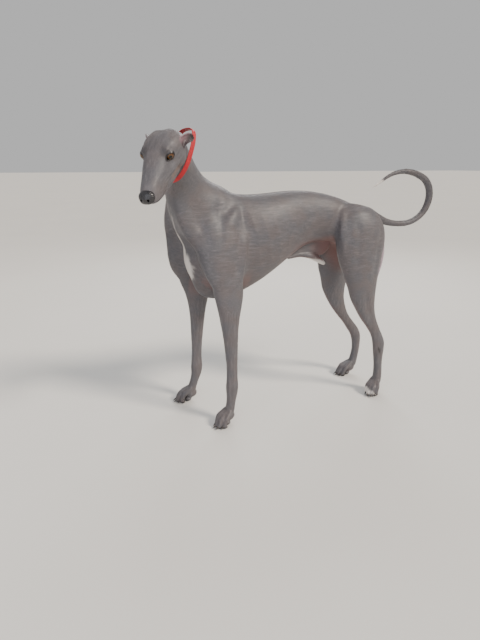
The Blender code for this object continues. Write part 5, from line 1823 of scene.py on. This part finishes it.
print("collar")
band, stitchLines = collarPiece(skinShell)
band.data.materials.append(webbingMaterial())
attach(band, "root")
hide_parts("collar")
guideMesh = bpy.data.meshes.new("stitchLines")
count = len(stitchLines[0])
linePoints = np.concatenate(stitchLines) + dogShift
lineEdges = [(row * count + k, row * count + (k + 1) % count) for row in (0, 1) for k in range(count)]
guideMesh.from_pydata(linePoints.tolist(), lineEdges, [])
guide = bpy.data.objects.new("stitchLines", guideMesh)
bpy.context.scene.collection.objects.link(guide)
values = {"Step": collarLook["stitchStep"], "Length": collarLook["stitchLength"],
          "Width": collarLook["stitchWidth"], "Material": threadMaterial()}
stitches = applied(guide, stitchTree(), values, "collarStitches")
discard(guide)
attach(stitches, "root")

print("studio")
studio = {
    "floor": "#dedcd8",
    "floorPale": "#d6d4d0",
    "floorHalf": 60.0,
    "world": "#f2f2f2",
    "worldStrength": 0.62,
    "key": 3.6,
    "keyAngle": 14.0,           # degrees across, which softens its shadows
    "fill": 35.0,
    "rim": 44.0,
    "middle": (0.0, 0.0, 0.55),
}


def floorPiece():
    # a plain floor that runs far out to the sides
    mesh = bpy.data.meshes.new("floor")
    size = studio["floorHalf"]
    corners = [(-size, -size, 0), (size, -size, 0), (size, size, 0), (-size, size, 0)]
    mesh.from_pydata(corners, [], [(0, 1, 2, 3)])
    obj = bpy.data.objects.new("floor", mesh)
    bpy.context.scene.collection.objects.link(obj)
    made, tree, surface = newMaterial("MattPaintedFloor", {"Roughness": 0.8})
    place = objectPlace(tree)
    tone = mixed(tree, cloudy(tree, place, 0.9), linear(studio["floor"]), linear(studio["floorPale"]))
    tree.links.new(tone, surface.inputs["Base Color"])
    mesh.materials.append(made)
    return obj


floorPiece()
world = bpy.data.worlds.new("softStudio")
world.use_nodes = True
background = world.node_tree.nodes["Background"]
background.inputs[0].default_value = linear(studio["world"])
background.inputs[1].default_value = studio["worldStrength"]
bpy.context.scene.world = world


def addLight(name, kind, place, power, colour):
    light = bpy.data.lights.new(name, kind)
    light.energy = power
    light.color = linear(colour)[:3]
    obj = bpy.data.objects.new(name, light)
    bpy.context.scene.collection.objects.link(obj)
    obj.location = place
    obj.rotation_euler = (Vector(studio["middle"]) - Vector(place)).to_track_quat("-Z", "Y").to_euler()
    return light


sun = addLight("keyLight", "SUN", (2.1, 1.7, 3.0), studio["key"], "#fff3e4")
sun.angle = math.radians(studio["keyAngle"])
softLights = (("fillLight", (2.2, -2.2, 1.6), (2.6, 2.0), studio["fill"], "#f0f4ff"),
              ("rimLight", (-2.2, 1.2, 2.4), (1.8, 1.2), studio["rim"], "#ffffff"))
for name, place, size, power, colour in softLights:
    soft = addLight(name, "AREA", place, power, colour)
    soft.shape = "RECTANGLE"
    soft.size, soft.size_y = size

# The camera stands where the photo was taken from
view = {"place": (1.3614, -0.7710, 0.810), "way": (-0.883, 0.354, -0.307), "lens": 27.0, "sensor": 36.0}
lens = bpy.data.cameras.new("photoCamera")
lens.sensor_width = view["sensor"]
lens.lens = view["lens"]
lens.clip_start = 0.05
camera = bpy.data.objects.new("photoCamera", lens)
bpy.context.scene.collection.objects.link(camera)
camera.location = view["place"]
camera.rotation_euler = Vector(view["way"]).to_track_quat("-Z", "Y").to_euler()
bpy.context.scene.camera = camera
